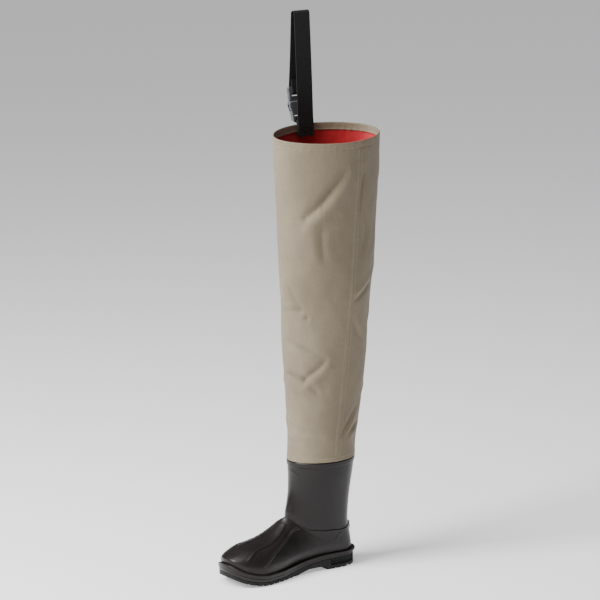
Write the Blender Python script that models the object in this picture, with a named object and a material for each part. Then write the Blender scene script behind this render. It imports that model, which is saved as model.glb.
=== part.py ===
"""Hip wader for the right foot: rubber boot, coated fabric leg, hip strap and buckle.

Frame: metres, +X to the inner side of the leg, -Y to the toe, +Z up.
The origin lies on the floor under the middle of the heel.
"""
import math

import bmesh
import bpy
import numpy as np
from mathutils import Matrix, Vector

for leftover in list(bpy.data.objects):
    bpy.data.objects.remove(leftover, do_unlink=True)

MM = 0.001

# Sole
SOLE_LENGTH = 297 * MM
BALL_WIDTH = 112 * MM
HEEL_BACK = 38 * MM          # from the origin to the sole's back edge
HEEL_TREAD = 22 * MM         # black rubber under the heel
BAND_HEIGHT = 12 * MM        # brown band, before its shares along the foot
TOE_SPRING = 19 * MM
ARCH_RISE = 7 * MM
LUG_PITCH = 14 * MM
GROOVE_WIDTH = 5 * MM
GROOVE_DEPTH = 3.5 * MM
EDGE_CHAMFER = 1.5 * MM
WINDOW_DEPTH = 3 * MM        # ribbed recess on the side of the heel
WINDOW_RIB = 1.2 * MM
WINDOW_PITCH = 5 * MM
BAND_BULGE = 1.8 * MM
LIP_HEIGHT = 2 * MM
LIP_CLEARANCE = 0.2 * MM     # more room for the upper's facets beside the lip
HEEL_LIP = 2.2 * MM          # the band's extra reach behind the heel

# Boot upper
INSTEP_HEIGHT = 113.5 * MM   # floor to the ankle line at the front
ANKLE_BACK = 76 * MM         # floor to the ankle line at the back
RIM_HEIGHT = 218 * MM
UPPER_INSET = 3.6 * MM       # from the sole's edge to the wall's outer face, at the ledge
UPPER_WALL = 2.8 * MM
FOOT_STEP = 0.9 * MM         # the thicker foot below the ankle line
TOE_CAP_STEP = 0.8 * MM
VAMP_RIB_HEIGHT = 1.1 * MM
BEAD_HEIGHT = 10 * MM
BEAD_STEP = 1.2 * MM
SPUR_STEP = 4 * MM
SEAT_BLEND = 22 * MM         # height over which the wall runs into the sole's outline
INSOLE_THICK = 4 * MM
INSOLE_CLEARANCE = 1.0 * MM

# Leg
COLLAR_HEIGHT = 846 * MM     # floor to the collar at its middle
COLLAR_DEPTH = 242 * MM      # front to back
COLLAR_WIDTH = 142 * MM
COLLAR_SLANT = 22 * MM       # how much higher the outer side stands
COLLAR_TWIST = math.radians(4)
LEG_LEAN = 22 * MM           # the collar's middle lies this far behind the rim's
FABRIC_WALL = 1.1 * MM
INSERT_DEPTH = 17 * MM       # fabric held inside the rim
HEM_HEIGHT = 15 * MM
HEM_STEP = 0.9 * MM
SEAM_WIDTH = 14 * MM
SEAM_STEP = 0.5 * MM
SEAM_DRIFT = math.radians(15)
TAPE_HEIGHT = 11 * MM

# Hip strap and buckle
WEBBING_WIDTH = 38 * MM
WEBBING_THICK = 1.5 * MM
SEWN_DEPTH = 24 * MM         # webbing below the collar's edge
STRAP_TOP = 216 * MM         # the fold above the collar's outer edge
FOLD_GAP = 9 * MM            # between the two plies at the fold
STRAP_LEAN = 1 * MM
STRAP_RETURN = 30 * MM
BUCKLE_LIFT = 6 * MM
BUCKLE_OFFSET = 6 * MM       # from the collar's inner face out to the buckle's middle plane
BUCKLE_TILT = math.radians(9)
SOCKET_HEIGHT = 37 * MM
SOCKET_WIDTH = 46 * MM
SHOULDER_WIDTH = 56 * MM
SOCKET_THICK = 10 * MM
PLUG_HEIGHT = 28 * MM
PLUG_WIDTH = 54 * MM
PLUG_THICK = 7 * MM
BAR_SIZE = 5 * MM

GAP = 0.3 * MM               # clearance between pieces that touch


def table(columns, *rows):
    """Rows of numbers as arrays, one for each named column."""
    return dict(zip(columns.split(), np.array(rows, dtype=float).T))


# Half widths of the sole as shares of BALL_WIDTH; turn runs from the heel (0) to the toe (1)
OUTLINE = table(
    "turn medial lateral",
    (0.0, 0.000, 0.000),
    (0.1, 0.196, 0.196),
    (0.2, 0.320, 0.330),
    (0.3, 0.340, 0.370),
    (0.4, 0.300, 0.400),
    (0.5, 0.320, 0.430),
    (0.6, 0.446, 0.475),
    (0.7, 0.510, 0.490),
    (0.8, 0.446, 0.400),
    (0.9, 0.295, 0.200),
    (1.0, 0.070, -0.070),
)

# Shares of TOE_SPRING, HEEL_TREAD and BAND_HEIGHT at stations from the heel (0) to the toe (1)
HEIGHTS = table(
    "station spring tread band",
    (0.00, 0.00, 1.00, 0.68),
    (0.10, 0.00, 1.00, 0.66),
    (0.24, 0.00, 0.98, 0.68),
    (0.36, 0.00, 0.82, 0.75),
    (0.46, 0.00, 0.60, 0.86),
    (0.54, 0.00, 0.42, 0.95),
    (0.64, 0.00, 0.33, 1.00),
    (0.76, 0.00, 0.32, 1.03),
    (0.86, 0.20, 0.32, 1.08),
    (0.94, 0.55, 0.34, 1.16),
    (1.00, 1.00, 0.40, 1.25),
)

# Share of ARCH_RISE under the waist, straight between the rows
ARCH = table("station rise", (0.0, 0.0), (0.262, 0.0), (0.272, 1.0), (0.40, 1.0), (0.50, 0.0), (1.0, 0.0))

# Sections of the foot, toe to ankle line, each in the slanted plane from its base to its crown.
# crown_y, base_y: shares of SOLE_LENGTH from the heel's back; crown_z of INSTEP_HEIGHT; base_z of
# ANKLE_BACK; centre, half: of BALL_WIDTH; belly: height of the widest place; base_power and
# crown_power: fullness of the two halves, 2 being an ellipse; sag: how far the sides drop below the
# plane, of INSTEP_HEIGHT.
FOOT = table(
    "crown_y crown_z base_y base_z centre half belly base_power crown_power sag",
    (0.988, 0.405, 0.988, 0.605, 0.067, 0.000, 0.45, 2.4, 2.20, 0.00),
    (0.982, 0.463, 0.986, 0.500, 0.065, 0.125, 0.45, 2.4, 2.20, 0.00),
    (0.963, 0.511, 0.977, 0.368, 0.054, 0.232, 0.42, 2.6, 2.20, 0.00),
    (0.926, 0.555, 0.950, 0.263, 0.040, 0.330, 0.38, 2.8, 2.20, 0.00),
    (0.874, 0.599, 0.896, 0.197, 0.027, 0.402, 0.34, 3.0, 2.20, 0.00),
    (0.805, 0.634, 0.825, 0.158, 0.013, 0.451, 0.30, 3.0, 2.15, 0.00),
    (0.737, 0.664, 0.751, 0.145, 0.004, 0.469, 0.30, 3.0, 2.00, 0.00),
    (0.680, 0.704, 0.687, 0.132, -0.004, 0.455, 0.30, 3.0, 1.90, 0.00),
    (0.630, 0.755, 0.616, 0.132, -0.016, 0.429, 0.30, 3.0, 1.85, 0.00),
    (0.589, 0.815, 0.549, 0.132, -0.027, 0.397, 0.30, 3.0, 1.80, 0.00),
    (0.556, 0.872, 0.461, 0.132, -0.040, 0.362, 0.30, 3.0, 1.80, 0.00),
    (0.539, 0.922, 0.360, 0.132, -0.040, 0.344, 0.30, 3.0, 1.80, 0.00),
    (0.528, 0.942, 0.242, 0.132, -0.031, 0.339, 0.32, 2.8, 1.80, 0.03),
    (0.523, 0.955, 0.125, 0.132, -0.018, 0.339, 0.34, 2.6, 1.80, 0.06),
    (0.518, 0.966, 0.051, 0.145, -0.007, 0.339, 0.36, 2.4, 1.80, 0.09),
    (0.513, 0.976, 0.020, 0.289, -0.004, 0.338, 0.37, 2.2, 1.80, 0.12),
    (0.509, 0.985, 0.012, 0.526, -0.003, 0.335, 0.38, 2.1, 1.82, 0.15),
    (0.505, 0.993, 0.016, 0.763, -0.002, 0.333, 0.39, 2.0, 1.84, 0.18),
    (0.502, 1.000, 0.025, 1.000, -0.002, 0.333, 0.40, 2.0, 1.86, 0.20),
)

# Sections of the boot's shaft: rise is the share of the way from the ankle line up to the rim
SHAFT = table(
    "crown_y base_y rise_crown rise_base centre half belly base_power crown_power sag",
    (0.499, 0.034, 0.100, 0.134, 0.000, 0.345, 0.43, 2.0, 1.90, 0.17),
    (0.484, 0.032, 0.234, 0.282, 0.000, 0.366, 0.46, 2.0, 1.94, 0.12),
    (0.468, 0.025, 0.397, 0.451, 0.000, 0.395, 0.49, 2.0, 2.00, 0.06),
    (0.460, 0.015, 0.560, 0.613, 0.000, 0.427, 0.50, 2.0, 2.00, 0.02),
    (0.456, 0.003, 0.732, 0.775, 0.000, 0.460, 0.50, 2.0, 2.00, 0.00),
    (0.456, -0.005, 0.885, 0.915, 0.000, 0.480, 0.50, 2.0, 2.00, 0.00),
    (0.456, -0.010, 1.000, 1.000, 0.000, 0.495, 0.50, 2.0, 2.00, 0.00),
)

TOE_CAP_ROW = 7.0
WAIST_ROW = 14.0             # behind it the sections are close enough
ANKLE_ROW = 18.0
RIM_ROW = 25.0
BEAD_ROW = 24.17
STEP_ROWS = 0.03             # half the width of a step, in rows
SPUR_ROWS = (17.4, 17.7, 18.25, 18.6)
SPUR_HALF_ANGLE = 14.0       # degrees of section angle
COLUMN_STEP = 9.0            # degrees between the columns of the boot's inside and of the leg
VAMP_RIBS = (14.5, 46.0)     # section angles of the vamp's ribs, each side of the crown
RIB_HALF_TOP = 1.2
RIB_HALF_FOOT = 3.0

# The leg from rim (0) to collar (1): shares of the growth in depth and width, and of LEG_LEAN
LEG = table(
    "height depth width lean power",
    (0.00, 0.00, 0.00, 0.00, 2.00),
    (0.05, 0.01, 0.03, 0.09, 2.00),
    (0.17, 0.15, 0.20, 0.30, 2.00),
    (0.30, 0.33, 0.43, 0.48, 2.00),
    (0.48, 0.50, 0.61, 0.68, 1.98),
    (0.61, 0.67, 0.80, 0.79, 1.95),
    (0.73, 0.77, 0.86, 0.88, 1.92),
    (0.85, 0.88, 0.93, 0.95, 1.88),
    (0.95, 0.96, 0.98, 0.99, 1.85),
    (1.00, 1.00, 1.00, 1.00, 1.82),
)


def smooth(knots, values, at):
    """Cubic curve through the knots whose slopes come from their neighbours."""
    at = np.clip(np.asarray(at, dtype=float), knots[0], knots[-1])
    slopes = np.gradient(values, knots)
    i = np.clip(np.searchsorted(knots, at, side="right") - 1, 0, len(knots) - 2)
    span = knots[i + 1] - knots[i]
    u = (at - knots[i]) / span
    start = values[i] * (1 + 2 * u) + slopes[i] * span * u
    end = values[i + 1] * (3 - 2 * u) - slopes[i + 1] * span * (1 - u)
    return start * (1 - u) ** 2 + end * u ** 2


def fade(x):
    """1 up to x = 0, then smoothly down to 0 at x = 1."""
    x = np.clip(x, 0.0, 1.0)
    return 1.0 - x * x * (3 - 2 * x)


def finish(name, colour, roughness, metallic=0.0):
    """A plain material."""
    material = bpy.data.materials.new(name)
    material.use_nodes = True
    shader = material.node_tree.nodes["Principled BSDF"]
    shader.inputs["Base Color"].default_value = (*colour, 1.0)
    shader.inputs["Roughness"].default_value = roughness
    shader.inputs["Metallic"].default_value = metallic
    material.diffuse_color = (*colour, 1.0)
    return material


def solid(name, points, faces, material, smooth_angle=30.0):
    """A closed object from points and faces, with its faces turned outwards."""
    mesh = bpy.data.meshes.new(name)
    mesh.from_pydata([tuple(point) for point in points], [], faces)
    shell = bmesh.new()
    shell.from_mesh(mesh)
    bmesh.ops.recalc_face_normals(shell, faces=shell.faces)
    shell.to_mesh(mesh)
    shell.free()
    mesh.materials.append(material)
    mesh.shade_smooth()
    mesh.set_sharp_from_angle(angle=math.radians(smooth_angle))
    body = bpy.data.objects.new(name, mesh)
    bpy.context.scene.collection.objects.link(body)
    return body


def cutter(body):
    """Mark an object as a guide that other objects are cut by."""
    body.hide_render = True
    body.display_type = "WIRE"
    return body


def carve(body, tool, operation="DIFFERENCE"):
    """Cut a body by a tool, or keep what the two share."""
    boolean = body.modifiers.new(operation.lower(), "BOOLEAN")
    boolean.operation = operation
    boolean.solver = "EXACT"
    boolean.object = tool


def ring_faces(rings, count):
    """Quads between rings of `count` points that follow one another."""
    faces = []
    for ring in range(rings - 1):
        for i in range(count):
            j = (i + 1) % count
            low = ring * count
            faces.append((low + i, low + j, low + count + j, low + count + i))
    return faces


# The sole's plan and heights

def edge(v, inset=0.0):
    """Plan points of the sole's edge: v runs 0 to 1 up the inner side and 1 to 2 back down the outer."""
    def raw(at):
        at = np.mod(at, 2.0)
        turn = np.where(at <= 1.0, at, 2.0 - at)
        medial = smooth(OUTLINE["turn"], OUTLINE["medial"], turn)
        lateral = smooth(OUTLINE["turn"], OUTLINE["lateral"], turn)
        x = BALL_WIDTH * np.where(at <= 1.0, medial, -lateral)
        y = HEEL_BACK - SOLE_LENGTH * (1 - np.cos(np.pi * turn)) / 2
        return np.stack([x, y], axis=-1)

    small = 0.004
    tangent = raw(v + small) - raw(v - small)
    tangent /= np.linalg.norm(tangent, axis=-1, keepdims=True)
    outward = np.stack([-tangent[..., 1], tangent[..., 0]], axis=-1)
    return raw(v) - outward * np.reshape(inset, (-1, 1))


def station(y):
    """Share of the way from the heel's back to the toe."""
    return np.clip((HEEL_BACK - y) / SOLE_LENGTH, 0.0, 1.0)


def spring(at):
    """Lift of the sole's underside at the toe."""
    return TOE_SPRING * np.maximum(smooth(HEIGHTS["station"], HEIGHTS["spring"], at), 0.0)


def ground(at):
    """Height of the sole's underside."""
    return spring(at) + ARCH_RISE * np.interp(at, ARCH["station"], ARCH["rise"])


def seam(at):
    """Height of the joint between the outsole and the band."""
    return spring(at) + HEEL_TREAD * smooth(HEIGHTS["station"], HEIGHTS["tread"], at)


def ledge(at):
    """Height of the band's top, on which the upper stands."""
    return seam(at) + BAND_HEIGHT * smooth(HEIGHTS["station"], HEIGHTS["band"], at)


def slab(name, v, loops, material):
    """A sole layer from loops of (inset, height function), bottom to top, with ruled caps."""
    rings = []
    for inset, height in loops:
        plan = edge(v, inset)
        rings.append(np.column_stack([plan, height(station(plan[:, 1]))]))
    count = len(v)
    half = count // 2
    faces = ring_faces(len(rings), count)
    for base in (0, (len(rings) - 1) * count):
        faces.append((base, base + 1, base + count - 1))
        for i in range(1, half - 1):
            faces.append((base + i, base + i + 1, base + count - i - 1, base + count - i))
        faces.append((base + half - 1, base + half, base + half + 1))
    return solid(name, np.concatenate(rings), faces, material)


def side_stations(extra=()):
    """Edge parameters of a loop, the same stations on both sides."""
    even = np.linspace(0.0, 1.0, 25)
    heel = np.linspace(0.0, 0.125, 7)
    toe = np.linspace(0.875, 1.0, 8)
    turn = np.unique(np.round(np.concatenate([even, heel, toe, np.asarray(extra, dtype=float)]), 5))
    return np.concatenate([turn, 2.0 - turn[-2:0:-1]])


def turn_of(at):
    """Outline turn at a station."""
    return np.arccos(1 - 2 * np.asarray(at, dtype=float)) / np.pi


# Stations of the heel window and of the heel's front edge
WINDOW = (0.045, 0.235)


def window_ribs():
    """Stations of the window's ribs, valley and crest in turn."""
    steps = 2 * max(1, round((WINDOW[1] - WINDOW[0]) * SOLE_LENGTH / WINDOW_PITCH))
    return np.linspace(WINDOW[0], WINDOW[1], steps + 1)


def build_outsole():
    """Black outsole with heel, arch, toe spring, lugs and the ribbed heel window."""
    ribs = window_ribs()
    rim_step = 0.002
    extra = [*turn_of(ribs), *turn_of([WINDOW[0] - rim_step, WINDOW[1] + rim_step])]
    extra += list(turn_of(ARCH["station"][1:-1]))
    v = side_stations(extra)
    at = station(edge(v)[:, 1])
    inside = (at > WINDOW[0] - rim_step / 2) & (at < WINDOW[1] + rim_step / 2)
    crest = np.interp(at, ribs, np.arange(len(ribs)) % 2)
    recess = np.where(inside, WINDOW_DEPTH - WINDOW_RIB * crest, 0.0)

    def between(share):
        return lambda s: ground(s) + share * (seam(s) - ground(s))

    loops = [
        (EDGE_CHAMFER, ground),
        (0.0, lambda s: ground(s) + EDGE_CHAMFER),
        (0.0, between(0.36)),
        (recess, between(0.38)),
        (recess, between(0.90)),
        (0.0, between(0.92)),
        (0.0, seam),
    ]
    outsole = slab("outsole", v, loops, BLACK_RUBBER)
    carve(outsole, build_grooves())
    return outsole


def build_grooves():
    """Bars across the sole that cut its lugs, in heel and forefoot."""
    points = []
    faces = []
    reach = BALL_WIDTH
    first = math.ceil((HEEL_BACK - SOLE_LENGTH) / LUG_PITCH)
    last = math.floor(HEEL_BACK / LUG_PITCH)
    for index in range(first, last + 1):
        y = (index + 0.5) * LUG_PITCH
        at = float(station(y))
        if not (0.03 < at < 0.24 or 0.52 < at < 0.95):
            continue
        top = float(ground(at)) + GROOVE_DEPTH
        corners = [(x, y + side, z) for x in (-reach, reach)
                   for side in (-GROOVE_WIDTH / 2, GROOVE_WIDTH / 2)
                   for z in (-GROOVE_DEPTH, top)]
        base = len(points)
        points += corners
        faces += [tuple(base + k for k in face) for face in BOX_FACES]
    return cutter(solid("sole_grooves", points, faces, BLACK_RUBBER))


BOX_FACES = ((0, 1, 3, 2), (4, 6, 7, 5), (0, 4, 5, 1), (2, 3, 7, 6), (0, 2, 6, 4), (1, 5, 7, 3))


def build_band():
    """Brown band round the foot, with the lip that holds the upper and a heel lip."""
    v = side_stations()
    behind = fade(station(edge(v)[:, 1]) / 0.09)
    bulge = -BAND_BULGE - HEEL_LIP * behind
    share = 0.58

    def part_way(fraction):
        return lambda s: seam(s) + GAP + fraction * (ledge(s) - seam(s))

    def lip(rise):
        return lambda s: ledge(s) + rise

    loops = [
        (0.8 * MM, lambda s: seam(s) + GAP),
        (-0.3 * MM, part_way(0.12)),
        (-0.3 * MM, part_way(share - 0.1)),
        (bulge, part_way(share)),
        (bulge, lip(LIP_HEIGHT - 1.2 * MM)),
        (bulge + 1.2 * MM, lip(LIP_HEIGHT)),
        (UPPER_INSET - 2 * GAP - LIP_CLEARANCE, lip(LIP_HEIGHT)),
        (UPPER_INSET - GAP - LIP_CLEARANCE, lip(0.0)),
    ]
    return slab("midsole_band", v, loops, BROWN_RUBBER)


# The boot's upper

def last_sections():
    """Tables of the foot and the shaft in metres, toe to rim."""
    rise_crown = INSTEP_HEIGHT + SHAFT["rise_crown"] * (RIM_HEIGHT - INSTEP_HEIGHT)
    rise_base = ANKLE_BACK + SHAFT["rise_base"] * (RIM_HEIGHT - ANKLE_BACK)
    join = np.concatenate
    sections = {
        "crown_y": HEEL_BACK - SOLE_LENGTH * join([FOOT["crown_y"], SHAFT["crown_y"]]),
        "base_y": HEEL_BACK - SOLE_LENGTH * join([FOOT["base_y"], SHAFT["base_y"]]),
        "crown_z": join([INSTEP_HEIGHT * FOOT["crown_z"], rise_crown]),
        "base_z": join([ANKLE_BACK * FOOT["base_z"], rise_base]),
        "centre": BALL_WIDTH * join([FOOT["centre"], SHAFT["centre"]]),
        "half": BALL_WIDTH * join([FOOT["half"], SHAFT["half"]]),
    }
    for key in ("belly", "base_power", "crown_power", "sag"):
        sections[key] = join([FOOT[key], SHAFT[key]])
    return sections


SECTIONS = last_sections()
ROWS = np.arange(len(SECTIONS["half"]), dtype=float)


def last_point(row, angle):
    """Point of the last: angle 0 at the crown, 90 at the inner side, 180 at the base, in degrees."""
    row, angle = np.broadcast_arrays(np.asarray(row, dtype=float), np.asarray(angle, dtype=float))
    value = {key: smooth(ROWS, column, row) for key, column in SECTIONS.items()}
    turn = np.radians(angle)
    lift = np.cos(turn)
    down = value["belly"] * (1 - np.abs(lift) ** (2 / value["base_power"]))
    up = value["belly"] + (1 - value["belly"]) * np.abs(lift) ** (2 / value["crown_power"])
    share = np.where(lift < 0, down, up)
    x = value["centre"] + value["half"] * np.sin(turn)
    y = value["base_y"] + share * (value["crown_y"] - value["base_y"])
    z = value["base_z"] + share * (value["crown_z"] - value["base_z"])
    z = z - INSTEP_HEIGHT * value["sag"] * np.abs(np.sin(turn))
    return np.stack([x, y, z], axis=-1)


def last_normal(row, angle):
    """Outward direction of the last's surface."""
    row, angle = np.broadcast_arrays(np.asarray(row, dtype=float), np.asarray(angle, dtype=float))
    row = np.clip(row, 0.15, RIM_ROW)
    small = 0.05
    along = last_point(row + small, angle) - last_point(row - small, angle)
    around = last_point(row, angle + 0.5) - last_point(row, angle - 0.5)
    normal = np.cross(around, along)
    return normal / np.linalg.norm(normal, axis=-1, keepdims=True)


def seat(points, inset):
    """Draw the wall near the ledge onto the sole's outline, so that it stands on the band."""
    line = edge(np.linspace(0.0, 2.0, 721)[:-1], inset)
    flat = points.reshape(-1, 3)
    offset = line[None, :, :] - flat[:, None, :2]
    distance = np.linalg.norm(offset, axis=-1)
    nearest = np.argmin(distance, axis=1)
    pick = np.arange(len(flat))
    rise = flat[:, 2] - ledge(station(flat[:, 1]))
    near = fade((distance[pick, nearest] - 9 * MM) / (8 * MM))
    weight = near * fade(rise / SEAT_BLEND)
    flat[:, :2] += weight[:, None] * offset[pick, nearest]
    return flat.reshape(points.shape)


def step_rows(rows, marks):
    """Rows with a close pair of them at each mark."""
    pairs = [mark + side * STEP_ROWS for mark in marks for side in (-1, 1)]
    return np.unique(np.concatenate([np.asarray(rows, dtype=float), pairs]))


def relief(row, angle):
    """Height of the upper's own steps, ribs, bead and spur over the last."""
    row, angle = np.broadcast_arrays(row, angle)
    height = np.where(row < ANKLE_ROW, FOOT_STEP, 0.0)
    height = height + np.where(row < TOE_CAP_ROW, TOE_CAP_STEP, 0.0)
    height = height + np.where(row > BEAD_ROW, BEAD_STEP, 0.0)
    from_crown = np.abs((angle + 180) % 360 - 180)
    on_vamp = np.interp(row, (TOE_CAP_ROW + 0.03, TOE_CAP_ROW + 1, ANKLE_ROW - 2, ANKLE_ROW), (0, 1, 1, 0))
    for rib in VAMP_RIBS:
        crest = np.interp(np.abs(from_crown - rib), (RIB_HALF_TOP, RIB_HALF_FOOT), (1, 0))
        height = height + VAMP_RIB_HEIGHT * crest * on_vamp
    at_back = np.interp(180 - from_crown, (SPUR_HALF_ANGLE / 2, SPUR_HALF_ANGLE), (1, 0))
    return height + SPUR_STEP * at_back * np.interp(row, SPUR_ROWS, (0, 1, 1, 0))


def loft(name, rows, angles, raised, inset, material):
    """Closed surface over the last from the toe's pole to the last row.

    raised is the height over the last, by row and angle; inset seats it on the sole's outline.
    """
    grid_row, grid_angle = np.meshgrid(rows, angles, indexing="ij")
    points = last_point(grid_row, grid_angle)
    points = points + last_normal(grid_row, grid_angle) * raised(grid_row, grid_angle)[..., None]
    points = seat(points, inset)
    pole = last_point(0.0, 0.0) + np.array([0.0, -1.0, 0.0]) * float(np.max(raised(0.0, 0.0)))
    pole = seat(pole.reshape(1, 3), inset)
    count = len(angles)
    faces = [(0, 1 + (i + 1) % count, 1 + i) for i in range(count)]
    faces += [tuple(1 + k for k in face) for face in ring_faces(len(rows), count)]
    top = 1 + (len(rows) - 1) * count
    faces.append(tuple(top + i for i in range(count)))
    return solid(name, np.concatenate([pole, points.reshape(-1, 3)]), faces, material)


def mirrored(side):
    """Section angles all the way round from those of one side, without 0 and 180."""
    side = sorted(side)
    return np.array([0.0, *side, 180.0, *(360.0 - angle for angle in reversed(side))])


def build_upper():
    """Hollow rubber upper, open at the rim and underneath."""
    ribs = [rib + side * width for rib in VAMP_RIBS for width in (RIB_HALF_TOP, RIB_HALF_FOOT)
            for side in (-1, 1)]
    plain = [6, 25, 35, 59, 70, 80, 90, 100, 110, 120, 131, 143, 155]
    spur = [180 - SPUR_HALF_ANGLE, 180 - SPUR_HALF_ANGLE / 2]
    angles = mirrored([*ribs, *plain, *spur])
    marks = (TOE_CAP_ROW, ANKLE_ROW, BEAD_ROW)
    rows = [0.35, 0.7, *np.arange(1.0, TOE_CAP_ROW), *np.arange(TOE_CAP_ROW + 1, WAIST_ROW, 0.5)]
    rows += [*np.arange(WAIST_ROW, ANKLE_ROW)]
    rows += [*SPUR_ROWS, *np.arange(ANKLE_ROW + 1, 24.0), RIM_ROW]
    outer = loft("boot_upper", step_rows(rows, marks), angles, relief, UPPER_INSET, BROWN_RUBBER)

    inner_rows = [0.5, *np.arange(1.0, TOE_CAP_ROW + 1), *np.arange(TOE_CAP_ROW + 1.5, WAIST_ROW, 0.5)]
    inner_rows += [*np.arange(WAIST_ROW, RIM_ROW)]
    inner_rows += [RIM_ROW - 0.6, RIM_ROW, RIM_ROW]
    inner_angles = mirrored(np.arange(COLUMN_STEP, 180.0, COLUMN_STEP))

    def inner(row, angle):
        return np.full(np.broadcast(row, angle).shape, -UPPER_WALL)

    cavity = cutter(loft("upper_cavity", inner_rows, inner_angles, inner, UPPER_INSET + UPPER_WALL,
                         BROWN_RUBBER))
    stretch_top(cavity, len(inner_angles))
    carve(outer, cavity)
    carve(outer, under_ledge("upper_underside", -20 * MM, GAP, flat_base=True))
    return outer


def stretch_top(body, count):
    """Lift a loft's last ring, which repeats the one before, so that it cuts clear of the rim."""
    for vertex in body.data.vertices[-count:]:
        vertex.co.z += BEAD_HEIGHT


def under_ledge(name, low, high, flat_base=False):
    """A block whose top follows the ledge at `high` over it; its base is flat or follows at `low`."""
    stations = (1 - np.cos(np.pi * np.linspace(0.0, 1.0, 37))) / 2
    y = HEEL_BACK - SOLE_LENGTH * stations
    y = np.concatenate([[y[0] + BALL_WIDTH], y, [y[-1] - BALL_WIDTH]])
    base = np.full_like(y, low) if flat_base else ledge(station(y)) + low
    top = ledge(station(y)) + high
    reach = BALL_WIDTH
    points = []
    for x in (-reach, reach):
        points += [(x, *pair) for pair in zip(y, base)]
        points += [(x, *pair) for pair in zip(y[::-1], top[::-1])]
    count = 2 * len(y)
    faces = ring_faces(2, count)
    faces += [tuple(range(count)), tuple(range(count, 2 * count))]
    return cutter(solid(name, points, faces, BROWN_RUBBER))


def build_insole():
    """Footbed inside the upper, on the band."""
    def within(row, angle):
        return np.full(np.broadcast(row, angle).shape, -UPPER_WALL - INSOLE_CLEARANCE)

    rows = [0.5, *np.arange(1.0, TOE_CAP_ROW + 1), *np.arange(TOE_CAP_ROW + 1.5, WAIST_ROW, 0.5)]
    rows += [*np.arange(WAIST_ROW, ANKLE_ROW + 1)]
    angles = mirrored([20, 45, 70, 90, 105, 120, 135, 150, 165])
    insole = loft("insole", rows, angles, within, UPPER_INSET + UPPER_WALL + INSOLE_CLEARANCE, GREY_FOAM)
    carve(insole, under_ledge("insole_slab", GAP, GAP + INSOLE_THICK), "INTERSECT")
    return insole


# The fabric leg

RIM_CENTRE = (SECTIONS["crown_y"][-1] + SECTIONS["base_y"][-1]) / 2
RIM_HALF_DEPTH = (SECTIONS["base_y"][-1] - SECTIONS["crown_y"][-1]) / 2
RIM_HALF_WIDTH = SECTIONS["half"][-1]


def leg_point(height, angle, outset=0.0):
    """Point of the leg: height 0 at the rim and 1 at the collar, angle 0 at the front, 90 inside."""
    height, angle = np.broadcast_arrays(np.asarray(height, dtype=float), np.asarray(angle, dtype=float))
    value = {key: smooth(LEG["height"], LEG[key], height) for key in LEG}
    depth = RIM_HALF_DEPTH + value["depth"] * (COLLAR_DEPTH / 2 - RIM_HALF_DEPTH) + outset
    width = RIM_HALF_WIDTH + value["width"] * (COLLAR_WIDTH / 2 - RIM_HALF_WIDTH) + outset
    turn = np.radians(angle)
    across = width * np.sign(np.sin(turn)) * np.abs(np.sin(turn)) ** (2 / value["power"])
    along = -depth * np.sign(np.cos(turn)) * np.abs(np.cos(turn)) ** (2 / value["power"])
    twist = COLLAR_TWIST * height
    x = across * np.cos(twist) - along * np.sin(twist)
    y = RIM_CENTRE + LEG_LEAN * value["lean"] + across * np.sin(twist) + along * np.cos(twist)
    collar = COLLAR_HEIGHT - COLLAR_SLANT / 2 * np.sin(turn)
    z = RIM_HEIGHT + height * (collar - RIM_HEIGHT)
    return np.stack([x, y, z], axis=-1)


def leg_angles(height, plain):
    """Column angles at a height, with the felled seam's four edges."""
    depth = RIM_HALF_DEPTH + float(smooth(LEG["height"], LEG["depth"], height)) * (
        COLLAR_DEPTH / 2 - RIM_HALF_DEPTH)
    half = SEAM_WIDTH / 2 / depth
    ramp = 0.6 * MM / depth
    seam_at = [90 + math.degrees(side * (half + extra)) for side in (-1, 1) for extra in (0, ramp)]
    return np.array(sorted([*plain, *seam_at])) + math.degrees(SEAM_DRIFT) * height


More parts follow.
